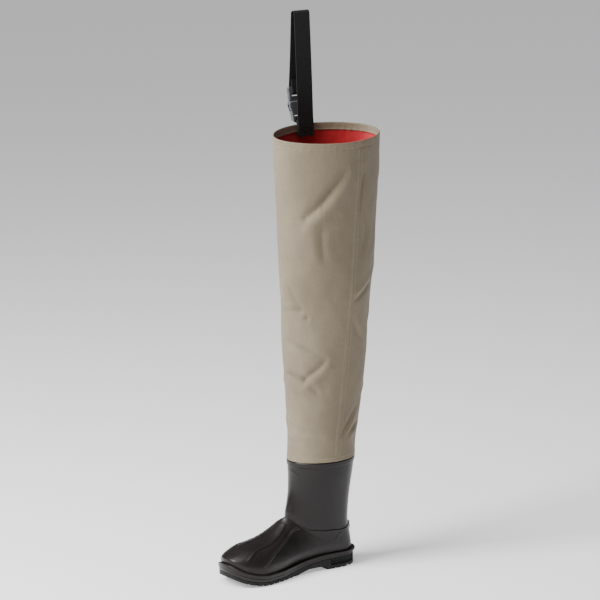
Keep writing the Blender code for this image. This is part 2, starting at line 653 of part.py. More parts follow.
def build_leg():
    """Fabric leg with its turned hem, felled seam and the tape round its foot."""
    plain = np.arange(0.0, 360.0, COLUMN_STEP)
    share = 1 / (COLLAR_HEIGHT - RIM_HEIGHT)
    foot = 1.6 * MM * share
    tape = TAPE_HEIGHT * share
    shares = [*np.linspace(0.05, 1.0, 12)]
    rings = []

    def seam_relief(angles, height):
        seam_at = 90 + math.degrees(SEAM_DRIFT) * height
        offset = np.abs(angles - seam_at)
        order = np.sort(offset)[:5]
        return np.where(offset <= order[2] + 1e-9, SEAM_STEP, 0.0)

    def inside_rim(row, inset, lift=0.0):
        angles = leg_angles(0.0, plain)
        points = last_point(row, angles) - last_normal(row, angles) * inset
        points[:, 2] += lift
        return points

    held = UPPER_WALL + GAP
    insert_row = RIM_ROW - INSERT_DEPTH / (12 * MM)
    outer = [inside_rim(insert_row, held), inside_rim(RIM_ROW - 0.6, held), inside_rim(RIM_ROW, held, 2 * GAP)]
    proud = 0.5 * MM
    for height, extra in ((foot, SEAM_STEP), (tape, SEAM_STEP), (tape * 1.04, 0.0)):
        angles = leg_angles(height, plain)
        outer.append(leg_point(height, angles, proud + np.maximum(extra, seam_relief(angles, height))))
    for height in shares:
        angles = leg_angles(height, plain)
        outer.append(leg_point(height, angles, proud * (1 - height) + seam_relief(angles, height)))

    hem = HEM_HEIGHT * share
    inner = []
    for height, extra in ((1.0, HEM_STEP), (1 - hem, HEM_STEP), (1 - hem * 1.04, 0.0)):
        inner.append(leg_point(height, leg_angles(height, plain), -FABRIC_WALL - extra))
    for height in (*shares[-3::-2], foot * 1.7):
        inner.append(leg_point(height, leg_angles(height, plain), proud * (1 - height) - FABRIC_WALL))
    inner.append(inside_rim(RIM_ROW, held + FABRIC_WALL, foot / share))
    inner.append(inside_rim(insert_row, held + FABRIC_WALL))
    rings = outer + inner
    count = rings[0].shape[0]
    faces = ring_faces(len(rings), count)
    last = (len(rings) - 1) * count
    faces += [(last + i, last + (i + 1) % count, (i + 1) % count, i) for i in range(count)]
    return solid("leg_shaft", np.concatenate(rings), faces, KHAKI_FABRIC)


# Strap, tab and buckle

def collar_frame():
    """Axes at the collar's outer side: along the wall, outwards and up, from its inner face."""
    inner = -FABRIC_WALL - HEM_STEP
    origin = leg_point(1.0, -90.0, inner)
    along = leg_point(1.0, -88.0, inner) - leg_point(1.0, -92.0, inner)
    up = leg_point(1.0, -90.0, inner) - leg_point(0.95, -90.0, inner)
    along = Vector(along).normalized()
    up = Vector(up)
    up = (up - up.dot(along) * along).normalized()
    outward = up.cross(along)
    if outward.x > 0:
        outward = -outward
    frame = Matrix((along, outward, up)).transposed().to_4x4()
    frame.translation = Vector(origin)
    return frame


def wall_sagitta():
    """How far the curved collar bows away from a flat strap as wide as the webbing."""
    power = LEG["power"][-1]
    share = WEBBING_WIDTH / COLLAR_DEPTH
    return COLLAR_WIDTH / 2 * (1 - (1 - share ** power) ** (1 / power))


def webbing(name, path, frame, material):
    """A flat strap along a path of (outwards, up) points in a frame."""
    path = np.array(path, dtype=float)
    ahead = np.vstack([path[1:], path[-1]]) - np.vstack([path[0], path[:-1]])
    ahead /= np.linalg.norm(ahead, axis=1, keepdims=True)
    normal = np.column_stack([-ahead[:, 1], ahead[:, 0]])
    half = WEBBING_THICK / 2
    corners = []
    for x, side in ((-1, -1), (1, -1), (1, 1), (-1, 1)):
        ring = path + side * half * normal
        corners.append(np.column_stack([np.full(len(path), x * WEBBING_WIDTH / 2), ring]))
    points = np.stack(corners, axis=1).reshape(-1, 3)
    faces = ring_faces(len(path), 4)
    end = 4 * (len(path) - 1)
    faces += [(0, 1, 2, 3), (end, end + 1, end + 2, end + 3)]
    strap = solid(name, points, faces, material)
    strap.matrix_world = frame
    return strap


def arc(centre, radius, start, stop, steps):
    """Points on an arc, angles in degrees."""
    turn = np.radians(np.linspace(start, stop, steps))
    return [(centre[0] + radius * math.cos(a), centre[1] + radius * math.sin(a)) for a in turn]


def buckle_frame(frame):
    """The buckle's own axes: middle of its foot, tilted outwards."""
    tilt = Matrix.Rotation(BUCKLE_TILT, 4, "X")
    up = (tilt @ Vector((0, 0, 1)))
    if up.y < 0:
        tilt = Matrix.Rotation(-BUCKLE_TILT, 4, "X")
    return frame @ Matrix.Translation((0, BUCKLE_OFFSET, BUCKLE_LIFT)) @ tilt


def buckle_to_collar(point):
    """(outwards, up) in the collar's frame of a buckle (outwards, up) point."""
    out, up = point
    return (BUCKLE_OFFSET + out * math.cos(BUCKLE_TILT) + up * math.sin(BUCKLE_TILT),
            BUCKLE_LIFT + up * math.cos(BUCKLE_TILT) - out * math.sin(BUCKLE_TILT))


TAB_OUTER = -(wall_sagitta() + 1.5 * GAP + WEBBING_THICK / 2)
TAB_INNER = TAB_OUTER - WEBBING_THICK - GAP
STRAP_INNER = TAB_INNER - WEBBING_THICK - GAP
BAR_CENTRE = 3.5 * MM
PLUG_BASE = SOCKET_HEIGHT + GAP
SLOT_HEIGHT = 5.7 * MM
SLOT_WIDTH = WEBBING_WIDTH + 2 * MM
PLUG_SLOT = PLUG_BASE + 10 * MM      # lower edge of the plug's slot


def build_strap(frame):
    """Hip strap: up from the collar, over its fold, down through the plug and back up."""
    top_out = STRAP_LEAN
    clear = PLUG_THICK / 2 + GAP + WEBBING_THICK / 2
    radius = FOLD_GAP / 2
    path = [(STRAP_INNER, -SEWN_DEPTH), (STRAP_INNER, 0.0), (STRAP_INNER + 1.2 * MM, 12 * MM)]
    near_top = (top_out, STRAP_TOP - radius)
    for share in (0.3, 0.5, 0.7):
        out = STRAP_INNER + 1.2 * MM + (top_out - STRAP_INNER - 1.2 * MM) * share ** 1.3
        path.append((out, 12 * MM + (near_top[1] - 12 * MM) * share))
    path += arc((top_out + radius, near_top[1]), radius, 180, 0, 7)
    path.append(((path[-1][0] + buckle_to_collar((clear, 0))[0]) / 2 + 5 * MM, STRAP_TOP * 0.6))
    slot_middle = PLUG_SLOT + 2.3 * MM
    path += [buckle_to_collar(p) for p in (
        (clear, PLUG_BASE + PLUG_HEIGHT), (clear, slot_middle + 2.2 * MM), (clear * 0.55, slot_middle + 0.5 * MM),
        (0.0, slot_middle), (-clear * 0.55, slot_middle + 0.5 * MM), (-clear, slot_middle + 2.2 * MM),
        (-clear, slot_middle + STRAP_RETURN))]
    return webbing("hip_strap", path, frame, BLACK_WEBBING)


def build_tab(frame):
    """Folded tab that holds the buckle's socket by its bar."""
    bar = buckle_to_collar((0.0, BAR_CENTRE))
    radius = BAR_SIZE * 0.75 + GAP + WEBBING_THICK / 2
    path = [(TAB_INNER, -SEWN_DEPTH), (TAB_INNER, 0.5 * MM), (TAB_INNER + 1.6 * MM, 4.2 * MM)]
    path += arc(bar, radius, 205, -70, 12)
    path += [(TAB_OUTER + 2.8 * MM, 3.0 * MM), (TAB_OUTER + 0.7 * MM, 2.0 * MM), (TAB_OUTER, -1.0 * MM)]
    path.append((TAB_OUTER, -SEWN_DEPTH))
    return webbing("buckle_tab", path, frame, BLACK_WEBBING)


def plate(name, outline, thick, frame, material):
    """A plate of even thickness from an outline of (across, up) points."""
    count = len(outline)
    points = [(x, side * thick / 2, z) for side in (-1, 1) for x, z in outline]
    faces = ring_faces(2, count) + [tuple(range(count)), tuple(range(count, 2 * count))]
    body = solid(name, points, faces, material)
    bevel = body.modifiers.new("rounded_edges", "BEVEL")
    bevel.width = 0.8 * MM
    bevel.segments = 1
    bevel.limit_method = "ANGLE"
    bevel.angle_limit = math.radians(50)
    body.matrix_world = frame
    return body


def boxes(name, spans, frame):
    """Cutting boxes from ((x, x), (y, y), (z, z)) spans."""
    points = []
    faces = []
    for xs, ys, zs in spans:
        base = len(points)
        points += [(x, y, z) for x in xs for y in ys for z in zs]
        faces += [tuple(base + k for k in face) for face in BOX_FACES]
    body = cutter(solid(name, points, faces, DARK_PLASTIC))
    body.matrix_world = frame
    return body


def build_socket(frame):
    """Socket of the side-release buckle, with the bar that the tab is folded round."""
    foot = SOCKET_WIDTH / 2
    shoulder = SHOULDER_WIDTH / 2
    side = [(foot, 0.0), (foot + 1.5 * MM, 0.45 * SOCKET_HEIGHT), (shoulder, 0.72 * SOCKET_HEIGHT),
            (shoulder, 0.92 * SOCKET_HEIGHT), (shoulder - 2 * MM, SOCKET_HEIGHT)]
    outline = side + [(-x, z) for x, z in reversed(side)]
    socket = plate("buckle_socket", outline, SOCKET_THICK, frame, DARK_PLASTIC)
    half_slot = SLOT_WIDTH / 2
    bar_top = BAR_CENTRE + BAR_SIZE / 2
    slot_top = bar_top + 4.6 * MM
    wide = SHOULDER_WIDTH
    deep = SOCKET_THICK
    thinned = [((-half_slot, half_slot), (BAR_SIZE / 2, deep), (-deep, slot_top)),
               ((-half_slot, half_slot), (-deep, -BAR_SIZE / 2), (-deep, slot_top))]
    release = 0.52 * SOCKET_HEIGHT, 0.86 * SOCKET_HEIGHT
    thinned += [((side * (foot - 4.5 * MM), side * wide), (-1.9 * MM, 1.9 * MM), release) for side in (-1, 1)]
    through = [((-half_slot, half_slot), (-deep, deep), (bar_top, slot_top)),
               ((-half_slot, half_slot), (-deep, deep), (-deep, BAR_CENTRE - BAR_SIZE / 2))]
    carve(socket, boxes("socket_steps", thinned, frame))
    carve(socket, boxes("socket_slots", through, frame))
    return socket


def build_plug(frame):
    """Plug of the buckle with the slot that the strap runs through."""
    half = PLUG_WIDTH / 2
    low = PLUG_BASE
    high = PLUG_BASE + PLUG_HEIGHT
    side = [(SHOULDER_WIDTH / 2 - 2 * MM, low), (half, low + 3 * MM), (half - 1 * MM, low + 0.55 * PLUG_HEIGHT),
            (half, high - 3 * MM), (half - 3 * MM, high)]
    outline = side + [(-x, z) for x, z in reversed(side)]
    plug = plate("buckle_plug", outline, PLUG_THICK, frame, DARK_PLASTIC)
    half_slot = SLOT_WIDTH / 2
    spans = [((-half_slot, half_slot), (-PLUG_THICK, PLUG_THICK), (PLUG_SLOT, PLUG_SLOT + SLOT_HEIGHT))]
    carve(plug, boxes("plug_slot", spans, frame))
    return plug


BLACK_RUBBER = finish("black_rubber", (0.010, 0.010, 0.010), 0.6)
BROWN_RUBBER = finish("brown_rubber", (0.052, 0.047, 0.048), 0.45)
GREY_FOAM = finish("grey_foam", (0.10, 0.09, 0.085), 0.9)
KHAKI_FABRIC = finish("khaki_fabric", (0.36, 0.31, 0.24), 0.75)
BLACK_WEBBING = finish("black_webbing", (0.012, 0.012, 0.012), 0.85)
DARK_PLASTIC = finish("dark_plastic", (0.055, 0.055, 0.058), 0.45)

build_outsole()
build_band()
build_upper()
build_insole()
build_leg()
COLLAR = collar_frame()
BUCKLE = buckle_frame(COLLAR)
build_strap(COLLAR)
build_tab(COLLAR)
build_socket(BUCKLE)
build_plug(BUCKLE)
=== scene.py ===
"""Hip wader dressed for its portrait: rubber boot, coated fabric leg, hip strap and buckle.

Frame: metres, +X to the inner side of the leg, -Y to the toe, +Z up, origin on the floor under the
middle of the heel. Section angles are degrees: 0 at the crown or front, 90 at the inner side, 180 at
the base or back, and -90 at the outer side.
"""

import logging
import math
from dataclasses import dataclass, field
from enum import Enum
from typing import Iterable, Sequence

import bmesh
import bpy
import numpy as np
from mathutils import Matrix, Vector


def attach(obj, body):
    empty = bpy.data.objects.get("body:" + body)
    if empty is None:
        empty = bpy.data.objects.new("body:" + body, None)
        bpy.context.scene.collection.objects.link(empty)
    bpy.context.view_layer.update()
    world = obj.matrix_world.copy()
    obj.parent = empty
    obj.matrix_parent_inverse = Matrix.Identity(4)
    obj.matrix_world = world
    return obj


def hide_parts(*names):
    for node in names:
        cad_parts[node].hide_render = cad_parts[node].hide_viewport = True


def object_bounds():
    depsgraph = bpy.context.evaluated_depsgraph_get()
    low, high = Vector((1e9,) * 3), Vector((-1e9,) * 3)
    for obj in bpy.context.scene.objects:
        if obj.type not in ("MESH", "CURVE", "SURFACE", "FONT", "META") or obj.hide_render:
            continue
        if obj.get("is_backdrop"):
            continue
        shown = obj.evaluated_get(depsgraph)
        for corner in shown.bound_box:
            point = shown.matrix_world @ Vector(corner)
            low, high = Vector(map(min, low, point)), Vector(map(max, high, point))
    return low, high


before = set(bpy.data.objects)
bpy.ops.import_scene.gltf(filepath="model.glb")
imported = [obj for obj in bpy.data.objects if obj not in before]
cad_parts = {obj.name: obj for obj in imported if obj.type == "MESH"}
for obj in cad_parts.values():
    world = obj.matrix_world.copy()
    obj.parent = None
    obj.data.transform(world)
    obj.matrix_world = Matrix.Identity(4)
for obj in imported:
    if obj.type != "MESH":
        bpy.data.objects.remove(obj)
CAD_BOX = [list(corner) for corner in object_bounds()]

Array = np.ndarray
Colour = tuple[float, float, float]
Profile = tuple[tuple[float, float], ...]
Table = dict[str, Array]
Object = bpy.types.Object
Material = bpy.types.Material
Socket = bpy.types.NodeSocket
log = logging.getLogger("wader")

MM = 0.001
GAP = 0.3 * MM
MERGE = 0.004 * MM


class Slot(Enum):
    """The record's material slots."""

    OUTSOLE = "outsole_rubber"
    BOOT = "boot_rubber"
    FABRIC = "leg_fabric"
    WEBBING = "webbing"
    THREAD = "thread"
    PLASTIC = "buckle_plastic"


def table(columns: str, *rows: tuple[float, ...]) -> Table:
    """Rows of numbers as arrays, one for each named column."""
    return dict(zip(columns.split(), np.array(rows, dtype=float).T))


# Half widths of the sole as shares of the ball's width; turn runs from the heel (0) to the toe (1)
OUTLINE = table(
    "turn medial lateral",
    (0.0, 0.000, 0.000),
    (0.1, 0.196, 0.196),
    (0.2, 0.320, 0.330),
    (0.3, 0.340, 0.370),
    (0.4, 0.300, 0.400),
    (0.5, 0.320, 0.430),
    (0.6, 0.446, 0.475),
    (0.7, 0.510, 0.490),
    (0.8, 0.446, 0.400),
    (0.9, 0.295, 0.200),
    (1.0, 0.070, -0.070),
)

# Shares of the toe spring, the heel's tread and the band's height, from the heel (0) to the toe (1)
HEIGHTS = table(
    "station spring tread band",
    (0.00, 0.00, 1.00, 0.68),
    (0.10, 0.00, 1.00, 0.66),
    (0.24, 0.00, 0.98, 0.68),
    (0.36, 0.00, 0.82, 0.75),
    (0.46, 0.00, 0.60, 0.86),
    (0.54, 0.00, 0.42, 0.95),
    (0.64, 0.00, 0.33, 1.00),
    (0.76, 0.00, 0.32, 1.03),
    (0.86, 0.20, 0.32, 1.08),
    (0.94, 0.55, 0.34, 1.16),
    (1.00, 1.00, 0.40, 1.25),
)

# Share of the arch's rise under the waist, straight between the rows
ARCH = table("station rise", (0.0, 0.0), (0.262, 0.0), (0.272, 1.0), (0.40, 1.0), (0.50, 0.0), (1.0, 0.0))

# Sections of the foot, toe to ankle line, each in the slanted plane from its base to its crown.
# crown_y, base_y: shares of the sole's length from the heel's back; crown_z of the instep's height;
# base_z of the ankle's back; centre, half: of the ball's width; belly: height of the widest place;
# base_power, crown_power: fullness of the two halves, 2 being an ellipse; sag: how far the sides drop.
FOOT = table(
    "crown_y crown_z base_y base_z centre half belly base_power crown_power sag",
    (0.988, 0.405, 0.988, 0.605, 0.067, 0.000, 0.45, 2.4, 2.20, 0.00),
    (0.982, 0.463, 0.986, 0.500, 0.065, 0.125, 0.45, 2.4, 2.20, 0.00),
    (0.963, 0.511, 0.977, 0.368, 0.054, 0.232, 0.42, 2.6, 2.20, 0.00),
    (0.926, 0.555, 0.950, 0.263, 0.040, 0.330, 0.38, 2.8, 2.20, 0.00),
    (0.874, 0.599, 0.896, 0.197, 0.027, 0.402, 0.34, 3.0, 2.20, 0.00),
    (0.805, 0.634, 0.825, 0.158, 0.013, 0.451, 0.30, 3.0, 2.15, 0.00),
    (0.737, 0.664, 0.751, 0.145, 0.004, 0.469, 0.30, 3.0, 2.00, 0.00),
    (0.680, 0.704, 0.687, 0.132, -0.004, 0.455, 0.30, 3.0, 1.90, 0.00),
    (0.630, 0.755, 0.616, 0.132, -0.016, 0.429, 0.30, 3.0, 1.85, 0.00),
    (0.589, 0.815, 0.549, 0.132, -0.027, 0.397, 0.30, 3.0, 1.80, 0.00),
    (0.556, 0.872, 0.461, 0.132, -0.040, 0.362, 0.30, 3.0, 1.80, 0.00),
    (0.539, 0.912, 0.360, 0.132, -0.040, 0.344, 0.30, 3.0, 1.80, 0.00),
    (0.528, 0.942, 0.242, 0.132, -0.031, 0.339, 0.32, 2.8, 1.80, 0.03),
    (0.523, 0.955, 0.125, 0.132, -0.018, 0.339, 0.34, 2.6, 1.80, 0.06),
    (0.518, 0.966, 0.051, 0.145, -0.007, 0.339, 0.36, 2.4, 1.80, 0.09),
    (0.513, 0.976, 0.020, 0.289, -0.004, 0.338, 0.37, 2.2, 1.80, 0.12),
    (0.509, 0.985, 0.012, 0.526, -0.003, 0.335, 0.38, 2.1, 1.82, 0.15),
    (0.505, 0.993, 0.016, 0.763, -0.002, 0.333, 0.39, 2.0, 1.84, 0.18),
    (0.502, 1.000, 0.025, 1.000, -0.002, 0.333, 0.40, 2.0, 1.86, 0.20),
)

# Sections of the boot's shaft: rise is the share of the way from the ankle line up to the rim
SHAFT = table(
    "crown_y base_y rise_crown rise_base centre half belly base_power crown_power sag",
    (0.499, 0.034, 0.100, 0.134, 0.000, 0.345, 0.43, 2.0, 1.90, 0.17),
    (0.484, 0.032, 0.234, 0.282, 0.000, 0.366, 0.46, 2.0, 1.94, 0.12),
    (0.468, 0.025, 0.397, 0.451, 0.000, 0.395, 0.49, 2.0, 2.00, 0.06),
    (0.460, 0.015, 0.560, 0.613, 0.000, 0.427, 0.50, 2.0, 2.00, 0.02),
    (0.456, 0.003, 0.732, 0.775, 0.000, 0.460, 0.50, 2.0, 2.00, 0.00),
    (0.456, -0.005, 0.885, 0.915, 0.000, 0.480, 0.50, 2.0, 2.00, 0.00),
    (0.456, -0.010, 1.000, 1.000, 0.000, 0.495, 0.50, 2.0, 2.00, 0.00),
)

# The leg from rim (0) to collar (1): shares of the growth in depth and width, and of the lean
LEG = table(
    "height depth width lean power",
    (0.00, 0.00, 0.00, 0.00, 2.00),
    (0.05, 0.01, 0.03, 0.09, 2.00),
    (0.17, 0.15, 0.20, 0.30, 2.00),
    (0.30, 0.33, 0.43, 0.48, 2.00),
    (0.48, 0.50, 0.61, 0.68, 1.98),
    (0.61, 0.67, 0.80, 0.79, 1.95),
    (0.73, 0.77, 0.86, 0.88, 1.92),
    (0.85, 0.88, 0.93, 0.95, 1.88),
    (0.95, 0.96, 0.98, 0.99, 1.85),
    (1.00, 1.00, 1.00, 1.00, 1.82),
)


# Curves

def smooth(knots: Array, values: Array, at: Array) -> Array:
    """Cubic curve through the knots whose slopes come from their neighbours.

    Args:
        knots: Places of the knots, rising.
        values: The curve's values there.
        at: Places where the curve is read.

    Returns:
        The curve's values at those places.
    """
    at = np.clip(np.asarray(at, dtype=float), knots[0], knots[-1])
    slopes = np.gradient(values, knots)
    i = np.clip(np.searchsorted(knots, at, side="right") - 1, 0, len(knots) - 2)
    span = knots[i + 1] - knots[i]
    u = (at - knots[i]) / span
    start = values[i] * (1 + 2 * u) + slopes[i] * span * u
    end = values[i + 1] * (3 - 2 * u) - slopes[i + 1] * span * (1 - u)
    return start * (1 - u) ** 2 + end * u ** 2


def rise(x: Array, low: float = 0.0, high: float = 1.0) -> Array:
    """0 up to low, then smoothly up to 1 at high."""
    x = np.clip((np.asarray(x, dtype=float) - low) / (high - low), 0.0, 1.0)
    return x * x * (3 - 2 * x)


def fade(x: Array) -> Array:
    """1 up to x = 0, then smoothly down to 0 at x = 1."""
    return 1.0 - rise(x)


def bell(x: Array) -> Array:
    """1 at x = 0, smoothly down to 0 at x = 1 and at x = -1."""
    return (1.0 - np.clip(np.square(x), 0.0, 1.0)) ** 2


def clustered(low: float, high: float, step: float, marks: Iterable[float], reach: float,
              fine: float) -> Array:
    """Grid lines from low to high, closer together round some marks.

    Args:
        low: First line.
        high: Last line.
        step: Usual spacing.
        marks: Places that get fine lines.
        reach: How far the fine lines run each side of a mark.
        fine: Their spacing.

    Returns:
        The lines, rising.
    """
    plain = np.linspace(low, high, round((high - low) / step) + 1)
    near = np.zeros(plain.shape, dtype=bool)
    extra = []
    for mark in marks:
        near |= np.abs(plain - mark) < reach
        extra.append(np.linspace(mark - reach, mark + reach, 2 * round(reach / fine) + 1))
    lines = np.concatenate([plain[~near], *extra])
    lines = lines[(lines >= low) & (lines <= high)]
    return np.unique(np.round(np.concatenate([[low], lines, [high]]), 6))


# Surfaces

@dataclass
class Surface:
    """Quads on an array of points, with pattern coordinates, finish numbers and point marks."""

    points: Array
    faces: Array
    uv: Array
    finish: Array = field(default_factory=lambda: np.zeros(0, dtype=int))
    marks: dict[str, Array] = field(default_factory=dict)

    def __post_init__(self) -> None:
        """Give every face the first finish where none is said."""
        if len(self.finish) != len(self.faces):
            self.finish = np.zeros(len(self.faces), dtype=int)


def grid(points: Array, uv: Array, marks: dict[str, Array] | None = None) -> Surface:
    """Surface through a grid of points, whose last column joins the first.

    Args:
        points: rows x columns x 3.
        uv: rows x (columns + 1) x 2 pattern coordinates in metres.
        marks: Named values, rows x columns.

    Returns:
        The surface, whose faces turn out where rows run up and columns run round to the left.
    """
    rows, columns = points.shape[:2]
    row, column = np.meshgrid(np.arange(rows - 1), np.arange(columns), indexing="ij")
    row, column = row.ravel(), column.ravel()
    ahead = (column + 1) % columns
    faces = np.stack([row * columns + column, row * columns + ahead,
                      (row + 1) * columns + ahead, (row + 1) * columns + column], axis=1)
    corners = np.stack([uv[row, column], uv[row, column + 1],
                        uv[row + 1, column + 1], uv[row + 1, column]], axis=1)
    flat = {name: value.ravel() for name, value in (marks or {}).items()}
    return Surface(points.reshape(-1, 3), faces, corners, marks=flat)


def joined(parts: Sequence[Surface]) -> Surface:
    """Several surfaces as one.

    Args:
        parts: The surfaces, all with the same marks.

    Returns:
        One surface of all their points and faces.
    """
    starts = np.cumsum([0] + [len(part.points) for part in parts[:-1]])
    names = parts[0].marks
    return Surface(
        np.concatenate([part.points for part in parts]),
        np.concatenate([part.faces + start for part, start in zip(parts, starts)]),
        np.concatenate([part.uv for part in parts]),
        np.concatenate([part.finish for part in parts]),
        {name: np.concatenate([part.marks[name] for part in parts]) for name in names},
    )


def walled(outer: Surface, inner_points: Array, inner_finish: Array) -> Surface:
    """Closed wall between a surface and its inner copy, with a strip along each open edge.

    Args:
        outer: The outer surface.
        inner_points: The inner copy's points, in the outer surface's order.
        inner_finish: The finish number of each inner face.

    Returns:
        Outer faces, inner faces turned round, and the strips.
    """
    count = len(outer.points)
    heads = outer.faces
    tails = np.roll(outer.faces, -1, axis=1)
    edges = np.stack([heads.ravel(), tails.ravel()], axis=1)
    key = edges.min(axis=1) * count + edges.max(axis=1)
    _, place, times = np.unique(key, return_index=True, return_counts=True)
    rim = edges[place[times == 1]]
    length = np.linalg.norm(outer.points[rim[:, 0]] - outer.points[rim[:, 1]], axis=1)
    rim = rim[length > MERGE]
    strip = np.stack([rim[:, 1], rim[:, 0], rim[:, 0] + count, rim[:, 1] + count], axis=1)
    corner_uv = np.zeros((len(strip), 4, 2))
    return Surface(
        np.concatenate([outer.points, inner_points]),
        np.concatenate([outer.faces, outer.faces[:, ::-1] + count, strip]),
        np.concatenate([outer.uv, outer.uv[:, ::-1], corner_uv]),
        np.concatenate([outer.finish, inner_finish, np.zeros(len(strip), dtype=int)]),
        {name: np.concatenate([value, value]) for name, value in outer.marks.items()},
    )


def placed(points: Array, axes: Matrix) -> Array:
    """Points given in a frame's own axes, in the wader's frame."""
    turn = np.array(axes.to_3x3())
    return points @ turn.T + np.array(axes.translation)


def piece(name: str, surface: Surface, finishes: Sequence[Material],
          sharp: float = 180.0) -> Object:
    """A finished object from a surface, riding on the wader.

    Args:
        name: The piece's name.
        surface: Its shape.
        finishes: Its materials, by finish number.
        sharp: Angle in degrees past which an edge stays sharp.

    Returns:
        The object.
    """
    mesh = bpy.data.meshes.new(name)
    mesh.from_pydata(surface.points.tolist(), [], surface.faces.tolist())
    layer = mesh.uv_layers.new(name="UVMap")
    layer.data.foreach_set("uv", surface.uv.astype(np.float32).ravel())
    mesh.polygons.foreach_set("material_index", surface.finish.astype(np.int32))
    for mark, value in surface.marks.items():
        attribute = mesh.attributes.new(mark, "FLOAT", "POINT")
        attribute.data.foreach_set("value", value.astype(np.float32))
    shell = bmesh.new()
    shell.from_mesh(mesh)
    bmesh.ops.remove_doubles(shell, verts=shell.verts, dist=MERGE)
    bmesh.ops.delete(shell, geom=[edge for edge in shell.edges if not edge.link_faces], context="EDGES")
    if shell.calc_volume(signed=True) < 0:
        bmesh.ops.reverse_faces(shell, faces=shell.faces)
    shell.to_mesh(mesh)
    shell.free()
    return dressed(name, mesh, finishes, sharp)


def dressed(name: str, mesh: bpy.types.Mesh, finishes: Sequence[Material],
            sharp: float) -> Object:
    """An object of a ready mesh, with its finishes and its ride.

    Args:
        name: The piece's name.
        mesh: Its mesh, in the wader's frame.
        finishes: Its materials, by finish number.
        sharp: Angle in degrees past which an edge stays sharp.

    Returns:
        The object.
    """
    for material in finishes:
        mesh.materials.append(material)
    mesh.shade_smooth()
    if sharp < 180.0:
        mesh.set_sharp_from_angle(angle=math.radians(sharp))
    made = bpy.data.objects.new(name, mesh)
    bpy.context.scene.collection.objects.link(made)
    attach(made, "root")
    log.info("%s: %d faces", name, len(mesh.polygons))
    return made


def cut(body: Object, tools: Sequence[Object]) -> None:
    """Cut a body by tools, keep the result as its mesh and remove the tools.

    Args:
        body: The piece to cut.
        tools: Closed cutters.
    """
    for tool in tools:
        knife = body.modifiers.new("cut", "BOOLEAN")
        knife.operation = "DIFFERENCE"
        knife.solver = "EXACT"
        knife.object = tool
    bpy.context.view_layer.update()
    evaluated = body.evaluated_get(bpy.context.evaluated_depsgraph_get())
    result = bpy.data.meshes.new_from_object(evaluated)
    body.modifiers.clear()
    body.data = result
    for tool in tools:
        bpy.data.objects.remove(tool, do_unlink=True)


def boxes(spans: Sequence[tuple[tuple[float, float], ...]], axes: Matrix) -> Object:
    """Closed cutting boxes from their spans along a frame's three axes.

    Args:
        spans: For each box its (low, high) along the three axes.
        axes: The frame that they are given in.

    Returns:
        A plain object, hidden from renders.
    """
    low_high = np.array(spans)
    pick = np.stack(np.meshgrid((0, 1), (0, 1), (0, 1), indexing="ij"), axis=-1).reshape(8, 3)
    corners = low_high[:, np.arange(3)[None, :], pick].reshape(-1, 3)
    sides = np.array(((0, 1, 3, 2), (4, 6, 7, 5), (0, 4, 5, 1), (2, 3, 7, 6), (0, 2, 6, 4), (1, 5, 7, 3)))
    faces = (np.arange(len(spans))[:, None, None] * 8 + sides).reshape(-1, 4)
    mesh = bpy.data.meshes.new("cutting_boxes")
    mesh.from_pydata(placed(corners, axes).tolist(), [], faces.tolist())
    shell = bmesh.new()
    shell.from_mesh(mesh)
    bmesh.ops.recalc_face_normals(shell, faces=shell.faces)
    shell.to_mesh(mesh)
    shell.free()
    made = bpy.data.objects.new("cutting_boxes", mesh)
    made.hide_render = True
    bpy.context.scene.collection.objects.link(made)
    return made


def stitches(places: Array, ahead: Array, outward: Array, length: float, thick: float) -> Surface:
    """A row of thread stitches: each is a six-sided spindle, sunk at both ends.

    Its middle line starts a third of the thread above the cloth and falls by one thread towards each
    end, as the fourth power of the distance from the middle.

    Args:
        places: Middle of each stitch on the cloth, n x 3.
        ahead: Direction of each stitch, n x 3 unit vectors.
        outward: Direction away from the cloth, n x 3 unit vectors.
        length: Length of a stitch.
        thick: Thickness of the thread.

    Returns:
        One surface of all the stitches.
    """
    t = np.array([-1.0, -0.8, 0.0, 0.8, 1.0])
    radius = thick / 2 * np.array([0.02, 0.75, 1.0, 0.75, 0.02])
    sides = 6
    turn = np.linspace(0, 2 * np.pi, sides + 1)[:-1]
    aside = np.cross(ahead, outward)
    middle = (places[:, None] + ahead[:, None] * (t * length / 2)[None, :, None]
              + outward[:, None] * (thick * 0.35 - thick * t ** 4)[None, :, None])
    ring = (aside[:, None, None] * np.cos(turn)[None, None, :, None]
            + outward[:, None, None] * np.sin(turn)[None, None, :, None])
    points = middle[:, :, None] + ring * radius[None, :, None, None]
    one = grid(np.zeros((len(t), sides, 3)), np.zeros((len(t), sides + 1, 2)))
    count = len(places)
    faces = (np.arange(count)[:, None, None] * (len(t) * sides) + one.faces).reshape(-1, 4)
    run = np.repeat(np.arange(count) * length, len(one.faces))
    uv = np.zeros((len(faces), 4, 2))
    uv[:, :, 0] = run[:, None] + np.tile(one.faces // sides * length / 4, (count, 1))
    uv[:, :, 1] = np.tile(one.faces % sides * thick / sides, (count, 1))
    return Surface(points.reshape(-1, 3), faces, uv)


def along_line(points: Array, step: float) -> tuple[Array, Array]:
    """Evenly spaced places along a line of points.

    Args:
        points: The line, n x 3.
        step: Spacing wanted.

    Returns:
        The places and the unit directions of the line there.
    """
    length = np.concatenate([[0.0], np.cumsum(np.linalg.norm(np.diff(points, axis=0), axis=1))])
    at = (np.arange(int(length[-1] / step)) + 0.5) * step
    places = np.stack([np.interp(at, length, points[:, k]) for k in range(3)], axis=1)
    near = np.stack([np.interp(at + step / 4, length, points[:, k]) for k in range(3)], axis=1)
    ahead = near - places
    return places, ahead / np.linalg.norm(ahead, axis=1, keepdims=True)


# Finishes

